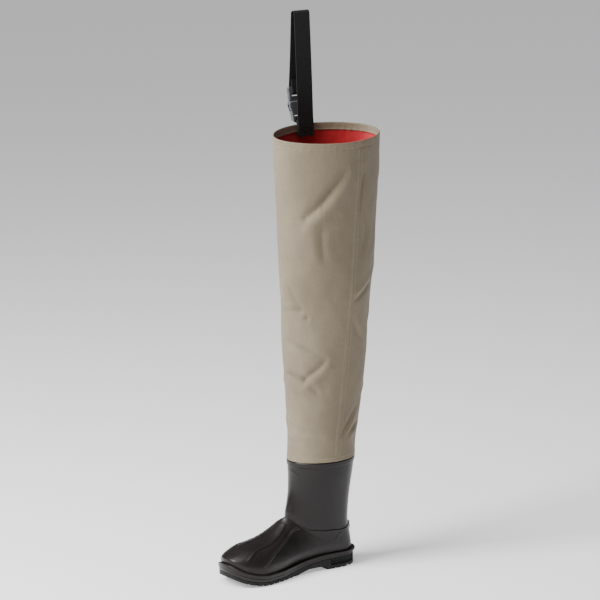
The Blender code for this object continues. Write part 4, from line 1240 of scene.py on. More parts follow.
@dataclass
class Boot:
    """Moulded rubber boot: foot, toe cap, ankle line, vamp ribs, shaft and rim bead in one wall."""

    last: Last
    finishes: Finishes
    inset: float = 3.6 * MM
    wall: float = 2.8 * MM
    foot_step: float = 0.9 * MM
    cap_step: float = 0.8 * MM
    bead_step: float = 1.2 * MM
    spur_step: float = 4 * MM
    cap_line: tuple[tuple[float, ...], ...] = ((0.0, 9.5, 37.0, 58.5, 80.0), (3.3, 3.48, 4.93, 6.98, 9.0))
    edge: float = 1.0 * MM
    ankle_blur: float = 14 * MM
    blur_angle: float = 24.0
    ankle_bead: float = 0.55 * MM
    ankle_spacing: tuple[float, float] = (6 * MM, 24 * MM)
    cap_end: float = 55.0
    cap_blur: float = 25.0
    rim_drop: float = 1.1 * MM
    rim_round: float = 1.6 * MM
    ridge_end: float = 0.3
    ankle_line: tuple[tuple[float, ...], ...] = (
        (0.0, 20.0, 30.0, 42.5, 63.5, 92.0, 156.0, 180.0), (10.3, 10.8, 14.0, 17.3, 18.2, 18.6, 18.6, 18.2))
    bead_row: float = 24.17
    rim_row: float = 25.0
    spur_rows: tuple[float, ...] = (17.35, 17.75, 18.2, 18.65)
    spur_angle: float = 14.0
    ridges: tuple[Ridge, ...] = (
        Ridge(((18.35, 119.0), (17.95, 103.0), (17.2, 95.0), (16.4, 91.5)), 0.9 * MM, 2.4 * MM),
        Ridge(((18.35, -119.0), (17.95, -103.0), (17.2, -95.0), (16.4, -91.5)), 0.9 * MM, 2.4 * MM),
        Ridge(((23.38, -14.0), (23.48, 0.0), (23.32, 12.0), (22.85, 22.5)), 0.9 * MM, 2.6 * MM),
        Ridge(((10.2, -5.0), (7.5, -4.0), (4.2, -3.0)), 1.2 * MM, 2.8 * MM),
        Ridge(((10.8, 21.0), (8.7, 28.0), (6.3, 33.5), (4.9, 38.0), (3.7, 62.0)), 2.0 * MM, 2.9 * MM),
        Ridge(((10.8, -26.0), (8.7, -34.0), (6.3, -38.0), (4.9, -43.0), (3.7, -64.0)), 2.0 * MM, 2.9 * MM),
        Ridge(((15.2, 34.0), (11.0, 42.0), (7.0, 56.5), (5.3, 79.0)), 1.9 * MM, 2.8 * MM),
        Ridge(((15.2, -34.0), (11.0, -42.0), (7.0, -56.5), (5.3, -79.0)), 1.9 * MM, 2.8 * MM),
    )

    def relief(self, row: Array, angle: Array) -> Array:
        """Height of the ankle and cap steps, the moulded lines, the bead and the spur over the last.

        Each step is a smooth rise across its line, which the ankle's spreads out over the instep. The
        spur eases in and out along its rows and round the back, and the rim's edge falls as a bell.

        Args:
            row: Section numbers.
            angle: Section angles in degrees.

        Returns:
            Heights in metres.
        """
        last = self.last
        spacing = last.spacing(np.clip(row, 0.1, self.rim_row - 0.1), angle)
        from_crown = np.abs((angle + 180) % 360 - 180)
        from_cap = (row - np.interp(from_crown, *self.cap_line)) * spacing
        from_ankle = (row - np.interp(from_crown, *self.ankle_line)) * np.clip(spacing, *self.ankle_spacing)
        from_bead = (row - self.bead_row) * spacing
        blur = self.edge + self.ankle_blur * fade(from_crown / self.blur_angle)
        height = self.foot_step * fade((from_ankle + blur / 2) / blur)
        bead = self.ankle_bead * bell((from_ankle + 1.5 * MM) / (2.2 * MM))
        height = height + bead * rise(from_crown, 12, 26)
        cap = self.cap_step * fade((from_cap + self.edge / 2) / self.edge)
        height = height + cap * fade((from_crown - self.cap_end) / self.cap_blur)
        height = height + self.bead_step * rise(from_bead, -self.edge / 2, self.edge / 2)
        at_back = fade((180 - from_crown - self.spur_angle / 2) / (self.spur_angle / 2))
        spur = np.interp(row, self.spur_rows, (0, 1, 1, 0))
        height = height + self.spur_step * at_back * spur * spur * (3 - 2 * spur)
        for ridge in self.ridges:
            height = height + self.moulded(ridge, row, angle)
        from_rim = (self.rim_row - row) * spacing
        return height - self.rim_drop * bell(from_rim / self.rim_round)

    def moulded(self, ridge: Ridge, row: Array, angle: Array) -> Array:
        """Height of one moulded line, a bell of the distance to its route.

        It runs out towards its ends, as the square root of a bell along it.

        Args:
            ridge: The line.
            row: Section numbers.
            angle: Section angles in degrees.

        Returns:
            Heights in metres.
        """
        route = np.array(ridge.route)
        dense = np.linspace(0, 1, 60)
        knots = np.linspace(0, 1, len(route))
        line = self.last.point(smooth(knots, route[:, 0], dense), smooth(knots, route[:, 1], dense))
        surface = self.last.point(row, angle)
        box_low, box_high = line.min(axis=0) - ridge.width, line.max(axis=0) + ridge.width
        near = np.all((surface > box_low) & (surface < box_high), axis=-1)
        height = np.zeros(near.shape)
        distance = np.linalg.norm(surface[near][:, None] - line[None], axis=-1)
        taper = np.sqrt(bell(2 * dense - 1))[np.argmin(distance, axis=1)]
        taper = self.ridge_end + (1 - self.ridge_end) * np.minimum(2 * taper, 1)
        height[near] = ridge.height * bell(distance.min(axis=1) / ridge.width) * taper
        return height

    def columns(self) -> Array:
        """Section angles round the boot, closer together over the vamp."""
        side = np.linspace(90.0, 180.0, 41)
        return np.concatenate([-side[::-1], np.linspace(-90.0, 90.0, 151)[1:-1], side])[:-1]

    def row_lines(self) -> Array:
        """Rows from the toe to the rim, close together at the spur, the bead and the rim."""
        lines = clustered(0.0, self.rim_row, step=0.135, marks=(18.5, self.bead_row), reach=0.16, fine=0.04)
        return np.unique(np.concatenate([lines, self.rim_row - np.array([0.03, 0.07, 0.11, 0.15])]))

    def build_upper(self) -> Object:
        """The boot's wall: outer and inner skin on one grid, cut off at the band's ledge.

        Faces that lie wholly below the ledge are left out, and the lower points of the faces that
        cross it are moved onto it.

        Returns:
            The piece.
        """
        last, plan = self.last, self.last.plan
        row, angle = np.meshgrid(self.row_lines(), self.columns(), indexing="ij")
        raised = self.relief(row, angle)
        normal = last.normal(row, angle)
        base = last.point(row, angle)
        outer = last.seat(base + normal * raised[..., None], self.inset)
        inner = last.seat(base - normal * self.wall, self.inset + self.wall)
        outer[0] = outer[0].mean(axis=0)
        inner[0] = inner[0].mean(axis=0)
        around = np.append(self.columns(), 180.0) * 0.9 * MM
        uv = np.stack(np.broadcast_arrays(around[None, :], self.row_lines()[:, None] * 14 * MM), axis=-1)
        skin = grid(outer, uv)
        below = skin.points[:, 2] < plan.ledge(plan.station(skin.points[:, 1])) + GAP
        keep = ~np.all(below[skin.faces], axis=1)
        skin = Surface(skin.points, skin.faces[keep], skin.uv[keep])
        inner_points = inner.reshape(-1, 3)
        for points, inset in ((skin.points, self.inset), (inner_points, self.inset + self.wall)):
            line, _ = plan.nearest(points[below], inset)
            points[below, :2] = line
            points[below, 2] = plan.ledge(plan.station(line[:, 1])) + GAP
        whole = walled(skin, inner_points, np.zeros(len(skin.faces), dtype=int))
        boot = piece("rubber_boot", whole, [self.finishes.brown])
        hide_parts("boot_upper")
        return boot

    def dress_insole(self) -> None:
        """Give the footbed, which is right as it stands, its fabric-topped foam finish."""
        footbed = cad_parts["insole"]
        footbed.data.materials.clear()
        footbed.data.materials.append(self.finishes.foam)


# The fabric leg

class Lip(Enum):
    """Side of a fold on which the cloth rises beside its trough, looking along its route."""

    LEFT = 1
    RIGHT = -1
    NONE = 0


@dataclass(frozen=True)
class Fold:
    """A soft trough or ridge in the leg, from one (height share, angle) to the next.

    start and end are the shares of its depth at its two ends. Its depth is positive for a trough, and
    width is the half width of its trough, both in millimetres.
    """

    route: tuple[tuple[float, float], ...]
    depth: float
    width: float
    lip: Lip = Lip.NONE
    start: float = 0.0
    end: float = 0.0


@dataclass
class Leg:
    """Coated fabric leg, cut flat and felled along its inner back, with a turned hem at the collar."""

    last: Last
    finishes: Finishes
    collar_height: float = 846 * MM
    collar_depth: float = 242 * MM
    collar_width: float = 142 * MM
    collar_slant: float = 22 * MM
    collar_twist: float = math.radians(4)
    lean: float = 22 * MM
    wall: float = 1.1 * MM
    insert_depth: float = 17 * MM
    hem_height: float = 15 * MM
    hem_step: float = 0.9 * MM
    seam_width: float = 14 * MM
    seam_rise: float = 0.8 * MM
    seam_edge: float = 0.8 * MM
    valley_lines: tuple[float, float] = (-0.66, 0.66)
    valley_depth: float = 0.6 * MM
    valley_width: float = 1.6 * MM
    pucker_height: float = 0.26 * MM
    gather_height: float = 0.22 * MM
    tape_step: float = 0.5 * MM
    tape_inset: float = 3 * MM
    hem_inset: float = 2 * MM
    proud: float = 0.5 * MM
    wave_height: float = 0.6 * MM
    seam_drift: float = 15.0
    tape_height: float = 11 * MM
    boot_wall: float = 2.8 * MM
    stitch_pitch: float = 3.4 * MM
    stitch_length: float = 2.5 * MM
    thread: float = 0.75 * MM
    fold_gain: float = 1.1
    trough_share: float = 0.62
    trough_spread: float = 2.2
    crease_share: float = 0.38
    crease_width: float = 0.26
    lip_share: float = 0.55
    lip_place: float = 1.35
    lip_width: float = 0.95
    folds: tuple[Fold, ...] = (
        # the inner and front sides, as the photograph shows them
        Fold(((0.925, 88), (0.861, 70), (0.813, 56), (0.772, 40)), 5.6, 13, Lip.LEFT, 0.1, 0.75),
        Fold(((0.760, 58), (0.690, 58), (0.620, 62)), 2.6, 12, Lip.RIGHT),
        Fold(((0.560, 4), (0.525, 16), (0.482, 30)), 4.2, 13, Lip.RIGHT, 0.2, 0.5),
        Fold(((0.472, -20), (0.476, 4), (0.482, 29)), 3.2, 7, Lip.LEFT, 0.3, 0.4),
        Fold(((0.466, 34), (0.455, 42)), 2.6, 8),
        Fold(((0.385, -6), (0.362, 30), (0.330, 64)), 3.4, 11, Lip.RIGHT, 0.1, 0.5),
        Fold(((0.328, 66), (0.300, 52), (0.264, 32)), 3.6, 9, Lip.LEFT, 0.2, 0.8),
        Fold(((0.278, -26), (0.276, 0), (0.262, 31)), 4.6, 12, Lip.RIGHT, 0.3, 0.8),
        Fold(((0.262, 33), (0.240, 46), (0.215, 56)), 2.4, 8, Lip.LEFT, 0.7, 0.0),
        Fold(((0.150, -30), (0.124, -8), (0.105, 20), (0.082, 45)), 3.4, 8, Lip.RIGHT, 0.2, 0.1),
        Fold(((0.085, -22), (0.070, 4), (0.058, 22)), 2.2, 7, Lip.LEFT),
        Fold(((0.160, 124), (0.120, 108), (0.074, 94)), 3.2, 7, Lip.LEFT, 0.4, 0.1),
        Fold(((0.112, 138), (0.096, 120), (0.074, 104)), 2.8, 7, Lip.LEFT, 0.4, 0.1),
        Fold(((0.905, 112), (0.850, 108), (0.790, 106.5)), 3.2, 8, Lip.RIGHT, 0.1, 0.4),
        Fold(((0.800, 112), (0.715, 119), (0.620, 106)), 2.4, 9, Lip.LEFT),
        Fold(((0.545, 132), (0.525, 118), (0.505, 101)), 3.4, 8, Lip.RIGHT, 0.5, 0.2),
        Fold(((0.450, 100), (0.410, 108), (0.372, 121)), 2.8, 8, Lip.LEFT, 0.2, 0.3),
        # the outer and back sides, which the photograph hides
        Fold(((0.900, -60), (0.840, -76), (0.780, -96)), 4.6, 13, Lip.LEFT, 0.1, 0.6),
        Fold(((0.700, -40), (0.640, -62), (0.600, -90)), 3.2, 12, Lip.RIGHT),
        Fold(((0.560, -120), (0.500, -98), (0.455, -70)), 4.2, 12, Lip.LEFT, 0.3, 0.5),
        Fold(((0.450, -66), (0.410, -50), (0.385, -34)), 2.8, 9, Lip.RIGHT, 0.5, 0.0),
        Fold(((0.350, -140), (0.320, -110), (0.280, -84)), 4.2, 11, Lip.RIGHT, 0.2, 0.6),
        Fold(((0.270, -80), (0.235, -100), (0.190, -122)), 3.4, 9, Lip.LEFT, 0.6, 0.1),
        Fold(((0.140, -70), (0.105, -92), (0.085, -120)), 3.2, 8, Lip.RIGHT, 0.2, 0.2),
        Fold(((0.870, 150), (0.800, 168), (0.740, 184)), 4.2, 12, Lip.LEFT, 0.2, 0.5),
        Fold(((0.660, 196), (0.600, 176), (0.560, 152)), 3.6, 11, Lip.RIGHT, 0.2, 0.4),
        Fold(((0.420, 150), (0.370, 172), (0.335, 200)), 3.8, 11, Lip.LEFT, 0.4, 0.4),
        Fold(((0.250, 205), (0.215, 180), (0.190, 150)), 3.6, 9, Lip.RIGHT, 0.3, 0.4),
        Fold(((0.110, 160), (0.085, 184), (0.070, 208)), 3.0, 7, Lip.LEFT, 0.4, 0.2),
    )

    def __post_init__(self) -> None:
        """Read the boot's rim from the last."""
        sections = self.last.sections
        self.rim_height = self.last.rim_height
        self.rim_centre = (sections["crown_y"][-1] + sections["base_y"][-1]) / 2
        self.rim_half_depth = (sections["base_y"][-1] - sections["crown_y"][-1]) / 2
        self.rim_half_width = sections["half"][-1]
        self.share = 1 / (self.collar_height - self.rim_height)

    def half_sizes(self, height: Array) -> tuple[Array, Array]:
        """Half depth and half width of the leg at a height share.

        Each grows from the boot's rim to the collar by its share in the table.

        Args:
            height: Height shares.

        Returns:
            The half depths and the half widths.
        """
        depth = self.rim_half_depth + smooth(LEG["height"], LEG["depth"], height) * (
            self.collar_depth / 2 - self.rim_half_depth)
        width = self.rim_half_width + smooth(LEG["height"], LEG["width"], height) * (
            self.collar_width / 2 - self.rim_half_width)
        return depth, width

    def point(self, height: Array, angle: Array, outset: Array | float = 0.0) -> Array:
        """Points of the leg.

        A section is a superellipse of its half depth and half width, turned a little with height and
        moved back by the lean, and its collar slants down to the inner side.

        Args:
            height: 0 at the boot's rim and 1 at the collar.
            angle: Degrees, 0 at the front and 90 at the inner side.
            outset: Distance outwards.

        Returns:
            Points, with a last axis of 3.
        """
        height, angle, outset = np.broadcast_arrays(
            np.asarray(height, dtype=float), np.asarray(angle, dtype=float), np.asarray(outset, dtype=float))
        depth, width = self.half_sizes(height)
        power = smooth(LEG["height"], LEG["power"], height)
        turn = np.radians(angle)
        across = (width + outset) * np.sign(np.sin(turn)) * np.abs(np.sin(turn)) ** (2 / power)
        along = -(depth + outset) * np.sign(np.cos(turn)) * np.abs(np.cos(turn)) ** (2 / power)
        twist = self.collar_twist * height
        x = across * np.cos(twist) - along * np.sin(twist)
        y = (self.rim_centre + self.lean * smooth(LEG["height"], LEG["lean"], height)
             + across * np.sin(twist) + along * np.cos(twist))
        collar = self.collar_height - self.collar_slant / 2 * np.sin(turn)
        z = self.rim_height + height * (collar - self.rim_height)
        return np.stack([x, y, z], axis=-1)

    def fold_height(self, height: Array, angle: Array) -> Array:
        """Height of all the folds over the plain leg.

        A fold is a bell of the distance to its line, in metres on the unrolled leg, with a lower bell
        beside it where it has a lip. The trough is a wide Gaussian bell plus a narrow crease that falls
        off exponentially, and its depth swells as a sine from its start to its middle and to its end.

        Args:
            height: Height shares, a grid.
            angle: Degrees, a grid.

        Returns:
            Heights in metres, troughs below 0.
        """
        depth, width = self.half_sizes(height)
        radius = np.sqrt((depth ** 2 + width ** 2) / 2)
        total = np.zeros(height.shape)
        for fold in self.folds:
            deep, wide = fold.depth * MM, fold.width * MM
            route = np.array(fold.route)
            knots = np.linspace(0, 1, len(route))
            t = np.linspace(0, 1, 40)
            line_height, line_angle = smooth(knots, route[:, 0], t), smooth(knots, route[:, 1], t)
            middle = (route[0] + route[-1]) / 2
            away = (angle - middle[1] + 180) % 360 - 180
            u, w = away * np.pi / 180 * radius, (height - middle[0]) / self.share
            mean_radius = float(np.interp(middle[0], height[:, 0], radius[:, 0]))
            line_u = (line_angle - middle[1]) * np.pi / 180 * mean_radius
            line_w = (line_height - middle[0]) / self.share
            reach = np.hypot(line_u, line_w).max() + 4 * wide
            near = np.hypot(u, w) < reach
            offset = np.stack([u[near][:, None] - line_u, w[near][:, None] - line_w], axis=-1)
            distance = np.hypot(offset[..., 0], offset[..., 1])
            best = np.argmin(distance, axis=1)
            pick = np.arange(len(best))
            tangent = np.stack([np.gradient(line_u), np.gradient(line_w)], axis=-1)
            tangent /= np.linalg.norm(tangent, axis=1, keepdims=True)
            side = (tangent[best, 0] * offset[pick, best, 1] - tangent[best, 1] * offset[pick, best, 0])
            far = distance[pick, best]
            swell = fold.start * (1 - t) + fold.end * t
            swell = swell + (1 - swell) * np.sin(np.pi * t) ** 0.8
            strength = swell[best]
            trough = (-self.trough_share * np.exp(-(far / wide) ** 2 * self.trough_spread)
                      - self.crease_share * np.exp(-far / (self.crease_width * wide)))
            ease = np.exp(-np.maximum(far - np.abs(side), 0) / wide * 1.5)
            lip = 0.0
            if fold.lip is not Lip.NONE:
                beside = (side * fold.lip.value - self.lip_place * wide) / (self.lip_width * wide)
                past_end = (far - np.abs(side)) ** 2 / wide ** 2
                lip = self.lip_share * np.exp(-beside ** 2) * np.exp(-past_end)
            total[near] += self.fold_gain * deep * strength * (trough * ease + lip)
        return total

    def unevenness(self, height: Array, angle: Array) -> Array:
        """Gentle waves of hanging cloth, sums of sines round and up the leg, calm at both ends.

        Args:
            height: Height shares.
            angle: Degrees.

        Returns:
            Heights in metres.
        """
        turn = np.radians(angle)
        up = height / self.share / (100 * MM)
        waves = (1.1 * np.sin(2 * turn + 1.3 * up + 0.6) + 0.8 * np.sin(3 * turn - 1.9 * up + 2.1)
                 + 0.55 * np.sin(5 * turn + 2.6 * up + 4.0) + 0.45 * np.sin(4 * turn - 4.1 * up + 1.0)
                 + 0.30 * np.sin(9 * turn + 5.3 * up) + 0.22 * np.sin(13 * turn - 7.7 * up + 2.7)
                 + 0.16 * np.sin(17 * turn + 11.9 * up + 0.9))
        return waves * self.wave_height * rise(height, 0.0, 0.12) * (1 - 0.75 * rise(height, 0.90, 1.0))

    def seam_offset(self, height: Array, angle: Array) -> Array:
        """Distance round the leg from the seam's centre line."""
        depth, _ = self.half_sizes(height)
        return np.radians(angle - 90 - self.seam_drift * height) * depth

    def detail(self, height: Array, angle: Array) -> Array:
        """Height of the felled seam, its stitched valleys and puckers, the tape and the hem's line.

        Seam and tape are steps, each row of stitches lies in a bell-shaped valley, and the puckers are
        sums of sines along the seam and round the hem.

        Args:
            height: Height shares.
            angle: Degrees.

        Returns:
            Heights in metres.
        """
        off = self.seam_offset(height, angle)
        up = height / self.share
        half = self.seam_width / 2
        seam = self.seam_rise * fade((np.abs(off) - half) / self.seam_edge)
        for line in self.valley_lines:
            seam = seam - self.valley_depth * bell((off - line * half) / self.valley_width)
        pucker = (np.sin(up / (2.1 * MM)) + 0.8 * np.sin(up / (3.3 * MM) + 1.0)
                  + 0.7 * np.sin(up / (5.7 * MM)))
        patchy = 0.5 + 0.5 * np.sin(up / (31 * MM) + 0.7)
        reach = 1.5 * self.seam_width
        seam = seam + self.pucker_height * pucker * patchy * np.exp(-(off / reach) ** 2)
        tape = self.tape_step * fade((up - self.tape_height) / (1.0 * MM))
        line = -0.3 * MM * bell((up - self.tape_height + self.tape_inset) / (1.4 * MM))
        down = (1 - height) / self.share
        from_stitches = down - self.hem_height + self.hem_inset
        hem = -0.4 * MM * bell(from_stitches / (1.6 * MM))
        around = np.radians(angle) * 96 * MM
        gather = np.sin(around / (1.9 * MM) + np.sin(around / (17 * MM)))
        hem = hem + self.gather_height * gather * bell(from_stitches / (9 * MM))
        return np.maximum(seam, tape) + line + hem

    def outset(self, height: Array, angle: Array) -> Array:
        """Height of the dressed leg's outer face over the plain leg.

        It stands proud at the boot's rim and less so upwards, and the folds are calm at both ends.

        Args:
            height: Height shares.
            angle: Degrees.

        Returns:
            Heights in metres.
        """
        calm = rise(height, 0.015, 0.07) * (1 - rise(height, 0.955, 1.0))
        proud = self.proud * (1 - height)
        folds = self.fold_height(height, angle) * calm
        return proud + folds + self.unevenness(height, angle) + self.detail(height, angle)

    def columns(self) -> Array:
        """Column angles at the rim, close together along the seam."""
        return clustered(-90.0, 270.0, step=1.75, marks=(90.0,), reach=9.0, fine=0.45)[:-1]

    def build_cloth(self) -> Object:
        """The leg's cloth: khaki face, red back, khaki again on the turned hem inside the collar.

        The two faces lie on one grid of heights and angles, the wall apart, and the insert inside the
        rim follows the last. The collar's edge is rolled by a bell of the distance to it.

        Returns:
            The piece.
        """
        last = self.last
        held = self.boot_wall + GAP
        below_collar = np.array([0.0, 0.35, 0.8, 1.6, 3, 6, 9, 11.5, 12.5, 13.5, 14.6, 15.3, 16.5, 19])
        over_rim = np.array([0.8, 2.2, 4, 6, 7.2, 8.2, 9.2, 10.4, 11.2, 12.2, 14])
        top = 1.0 - below_collar * MM * self.share
        foot = over_rim * MM * self.share
        middle = np.linspace(foot[-1], top[-1], 146)[1:-1]
        heights = np.concatenate([foot, middle, top[::-1]])
        columns = self.columns()
        height, base_angle = np.meshgrid(heights, columns, indexing="ij")
        angle = base_angle + self.seam_drift * height
        raised = self.outset(height, angle)
        down = (1 - height) / self.share
        roll = bell(down / (1.3 * MM)) * 0.75 * MM
        outer = self.point(height, angle, raised - roll)
        hem = self.hem_step * fade((down - self.hem_height + 0.4 * MM) / (0.8 * MM))
        inner = self.point(height, angle, raised - self.wall - hem + roll)
        insert_rows = np.linspace(last.rows[-1] - self.insert_depth / (12 * MM), last.rows[-1], 8)
        row, base = np.meshgrid(insert_rows, columns, indexing="ij")
        lift = np.zeros(row.shape)
        lift[-1] = 2 * GAP
        held_outer = last.point(row, base) - last.normal(row, base) * held
        held_inner = last.point(row, base) - last.normal(row, base) * (held + self.wall)
        held_outer[..., 2] += lift
        held_inner[..., 2] += lift
        outer = np.concatenate([held_outer, outer])
        inner = np.concatenate([held_inner, inner])
        # fold mark: the cloth's height over the plain leg, painted as shade where low and as a highlight
        # where high
        fold = np.concatenate([np.zeros(row.shape), (raised - self.proud * (1 - height)) / (4.5 * MM)])
        around = np.append(columns, 270.0) / 360 * 0.60
        run = np.concatenate([[0.0], np.cumsum(np.linalg.norm(np.diff(outer[:, 0], axis=0), axis=1))])
        uv = np.stack(np.broadcast_arrays(around[None, :], run[:, None]), axis=-1)
        skin = grid(outer, uv, marks={"fold": np.clip(fold, -1, 1)})
        face_row = np.repeat(np.arange(len(outer) - 1), len(columns))
        hem_rows = int(np.sum(self.hem_height + 0.2 * MM < (1 - heights) / self.share)) + len(insert_rows)
        lining = np.where(face_row < hem_rows, 1, 0)
        whole = walled(skin, inner.reshape(-1, 3), lining)
        cloth = piece("leg_cloth", whole, [self.finishes.khaki, self.finishes.red])
        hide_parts("leg_shaft")
        return cloth

    def stitch_row(self, height: Array, angle: Array, inside: bool = False) -> Surface:
        """Stitches along a line of heights and angles on the cloth's outer or inner face.

        Args:
            height: Height shares along the line.
            angle: Degrees along it.
            inside: Whether they lie on the inner face.

        Returns:
            The stitches.
        """
        lifted = self.outset(height[:, None], angle[:, None])[:, 0]
        if inside:
            lifted = lifted - self.wall - self.hem_step
        line = self.point(height, angle, lifted)
        places, ahead = along_line(line, self.stitch_pitch)
        share = np.clip((places[:, 2] - self.rim_height) * self.share, 0, 1)
        centre = np.stack([np.zeros(len(places)), self.rim_centre + self.lean * share, places[:, 2]], axis=1)
        outward = places - centre
        outward -= ahead * np.sum(outward * ahead, axis=1, keepdims=True)
        outward /= np.linalg.norm(outward, axis=1, keepdims=True)
        if inside:
            outward = -outward
        return stitches(places, ahead, outward, self.stitch_length, self.thread)

    def build_stitching(self) -> Object:
        """All the beige stitches: hem, felled seam and tape, each row in its own valley.

        Returns:
            The piece.
        """
        around = np.linspace(-180, 180, 721)
        hem = np.full(around.shape, 1 - (self.hem_height - self.hem_inset) * self.share)
        tape = np.full(around.shape, (self.tape_height - self.tape_inset) * self.share)
        up = np.linspace(tape[0] + 2 * MM * self.share, hem[0] - 2 * MM * self.share, 400)
        depth, _ = self.half_sizes(up)
        rows = [self.stitch_row(hem, around), self.stitch_row(hem, around, inside=True),
                self.stitch_row(tape, around)]
        for line in self.valley_lines:
            angle = 90 + self.seam_drift * up + np.degrees(line * self.seam_width / 2 / depth)
            rows.append(self.stitch_row(up, angle))
        return piece("leg_stitching", joined(rows), [self.finishes.beige_thread])


# Strap, tab and buckle

@dataclass
class HipStrap:
    """Webbing loop and side-release buckle inside the collar's outer edge."""

    leg: Leg
    finishes: Finishes
    width: float = 38 * MM
    thick: float = 1.5 * MM
    sewn_depth: float = 24 * MM
    top: float = 216 * MM
    fold_gap: float = 9 * MM
    lean: float = 1 * MM
    turn_back: float = 30 * MM
    buckle_lift: float = 6 * MM
    buckle_offset: float = 6 * MM
    buckle_tilt: float = math.radians(9)
    socket_height: float = 37 * MM
    socket_width: float = 46 * MM
    shoulder_width: float = 56 * MM
    socket_thick: float = 10 * MM
    plug_height: float = 28 * MM
    plug_width: float = 54 * MM
    plug_thick: float = 7 * MM
    bar: float = 5 * MM
    bar_centre: float = 3.5 * MM
    slot_height: float = 5.7 * MM
    step: float = 1.6 * MM
    rib_swell: float = 0.06
    stitch_pitch: float = 2.6 * MM
    stitch_length: float = 2.1 * MM
    thread: float = 0.6 * MM
    corner: float = 2.5 * MM
    edge_round: float = 1.5 * MM
    softening: float = 0.35 * MM
    release: tuple[float, float] = (0.52, 0.86)
    release_depth: float = 1.9 * MM
    grip_lines: tuple[float, ...] = (2.6 * MM, 4.8 * MM, 7.0 * MM)
    pad: tuple[float, float] = (0.535, 0.845)
    pad_bow: float = 1.6 * MM
    pad_rib: float = 0.35 * MM

    def __post_init__(self) -> None:
        """Work out the collar's axes and where the plies lie, as the solids do."""
        leg = self.leg
        inner = -leg.wall - leg.hem_step
        origin = leg.point(1.0, -90.0, inner)
        along = Vector(leg.point(1.0, -88.0, inner) - leg.point(1.0, -92.0, inner)).normalized()
        up = Vector(leg.point(1.0, -90.0, inner) - leg.point(0.95, -90.0, inner))
        up = (up - up.dot(along) * along).normalized()
        outward = up.cross(along)
        if outward.x > 0:
            outward = -outward
        self.collar = Matrix((along, outward, up)).transposed().to_4x4()
        self.collar.translation = Vector(origin)
        tilt = Matrix.Rotation(self.buckle_tilt, 4, "X")
        if (tilt @ Vector((0, 0, 1))).y < 0:
            tilt = Matrix.Rotation(-self.buckle_tilt, 4, "X")
        self.buckle = self.collar @ Matrix.Translation((0, self.buckle_offset, self.buckle_lift)) @ tilt
        power = LEG["power"][-1]
        share = self.width / leg.collar_depth
        sagitta = leg.collar_width / 2 * (1 - (1 - share ** power) ** (1 / power))
        self.tab_outer = -(sagitta + 1.5 * GAP + self.thick / 2)
        self.tab_inner = self.tab_outer - self.thick - GAP
        self.strap_inner = self.tab_inner - self.thick - GAP
        self.plug_base = self.socket_height + GAP
        self.plug_slot = self.plug_base + 10 * MM
        self.slot_width = self.width + 2 * MM

    def to_collar(self, out: float, up: float) -> tuple[float, float]:
        """(outwards, up) in the collar's axes of a point in the buckle's."""
        cos, sin = math.cos(self.buckle_tilt), math.sin(self.buckle_tilt)
        return self.buckle_offset + out * cos + up * sin, self.buckle_lift + up * cos - out * sin

    @staticmethod
    def arc(centre: tuple[float, float], radius: float, start: float, stop: float,
            steps: int) -> list[tuple[float, float]]:
        """Points on an arc, angles in degrees."""
        turn = np.radians(np.linspace(start, stop, steps))
        return [(centre[0] + radius * math.cos(a), centre[1] + radius * math.sin(a)) for a in turn]

    def strap_path(self) -> list[tuple[float, float]]:
        """(outwards, up) points of the strap: up, over its fold, down through the plug and back up.

        Returns:
            The points.
        """
        clear = self.plug_thick / 2 + GAP + self.thick / 2
        radius = self.fold_gap / 2
        low = self.strap_inner + 1.2 * MM
        bend = 12 * MM
        path = [(self.strap_inner, -self.sewn_depth), (self.strap_inner, 0.0), (low, bend)]
        top = self.top - radius
        path += [(low + (self.lean - low) * share ** 1.3, bend + (top - bend) * share)
                 for share in (0.3, 0.5, 0.7)]
        path += self.arc((self.lean + radius, top), radius, 180, 0, 7)
        path.append(((path[-1][0] + self.to_collar(clear, 0)[0]) / 2 + 5 * MM, self.top * 0.6))
        middle = self.plug_slot + 2.3 * MM
        path += [self.to_collar(*point) for point in (
            (clear, self.plug_base + self.plug_height), (clear, middle + 2.2 * MM),
            (clear * 0.55, middle + 0.5 * MM), (0.0, middle), (-clear * 0.55, middle + 0.5 * MM),
            (-clear, middle + 2.2 * MM), (-clear, middle + self.turn_back))]
        return path

    def tab_path(self) -> list[tuple[float, float]]:
        """(outwards, up) points of the tab folded round the socket's bar.

        Returns:
            The points.
        """
        bar = self.to_collar(0.0, self.bar_centre)
        radius = self.bar * 0.75 + GAP + self.thick / 2
        path = [(self.tab_inner, -self.sewn_depth), (self.tab_inner, 0.5 * MM),
                (self.tab_inner + 1.6 * MM, 4.2 * MM)]
        path += self.arc(bar, radius, 205, -70, 12)
        path += [(self.tab_outer + 2.8 * MM, 3.0 * MM), (self.tab_outer + 0.7 * MM, 2.0 * MM),
                 (self.tab_outer, -1.0 * MM), (self.tab_outer, -self.sewn_depth)]
        return path

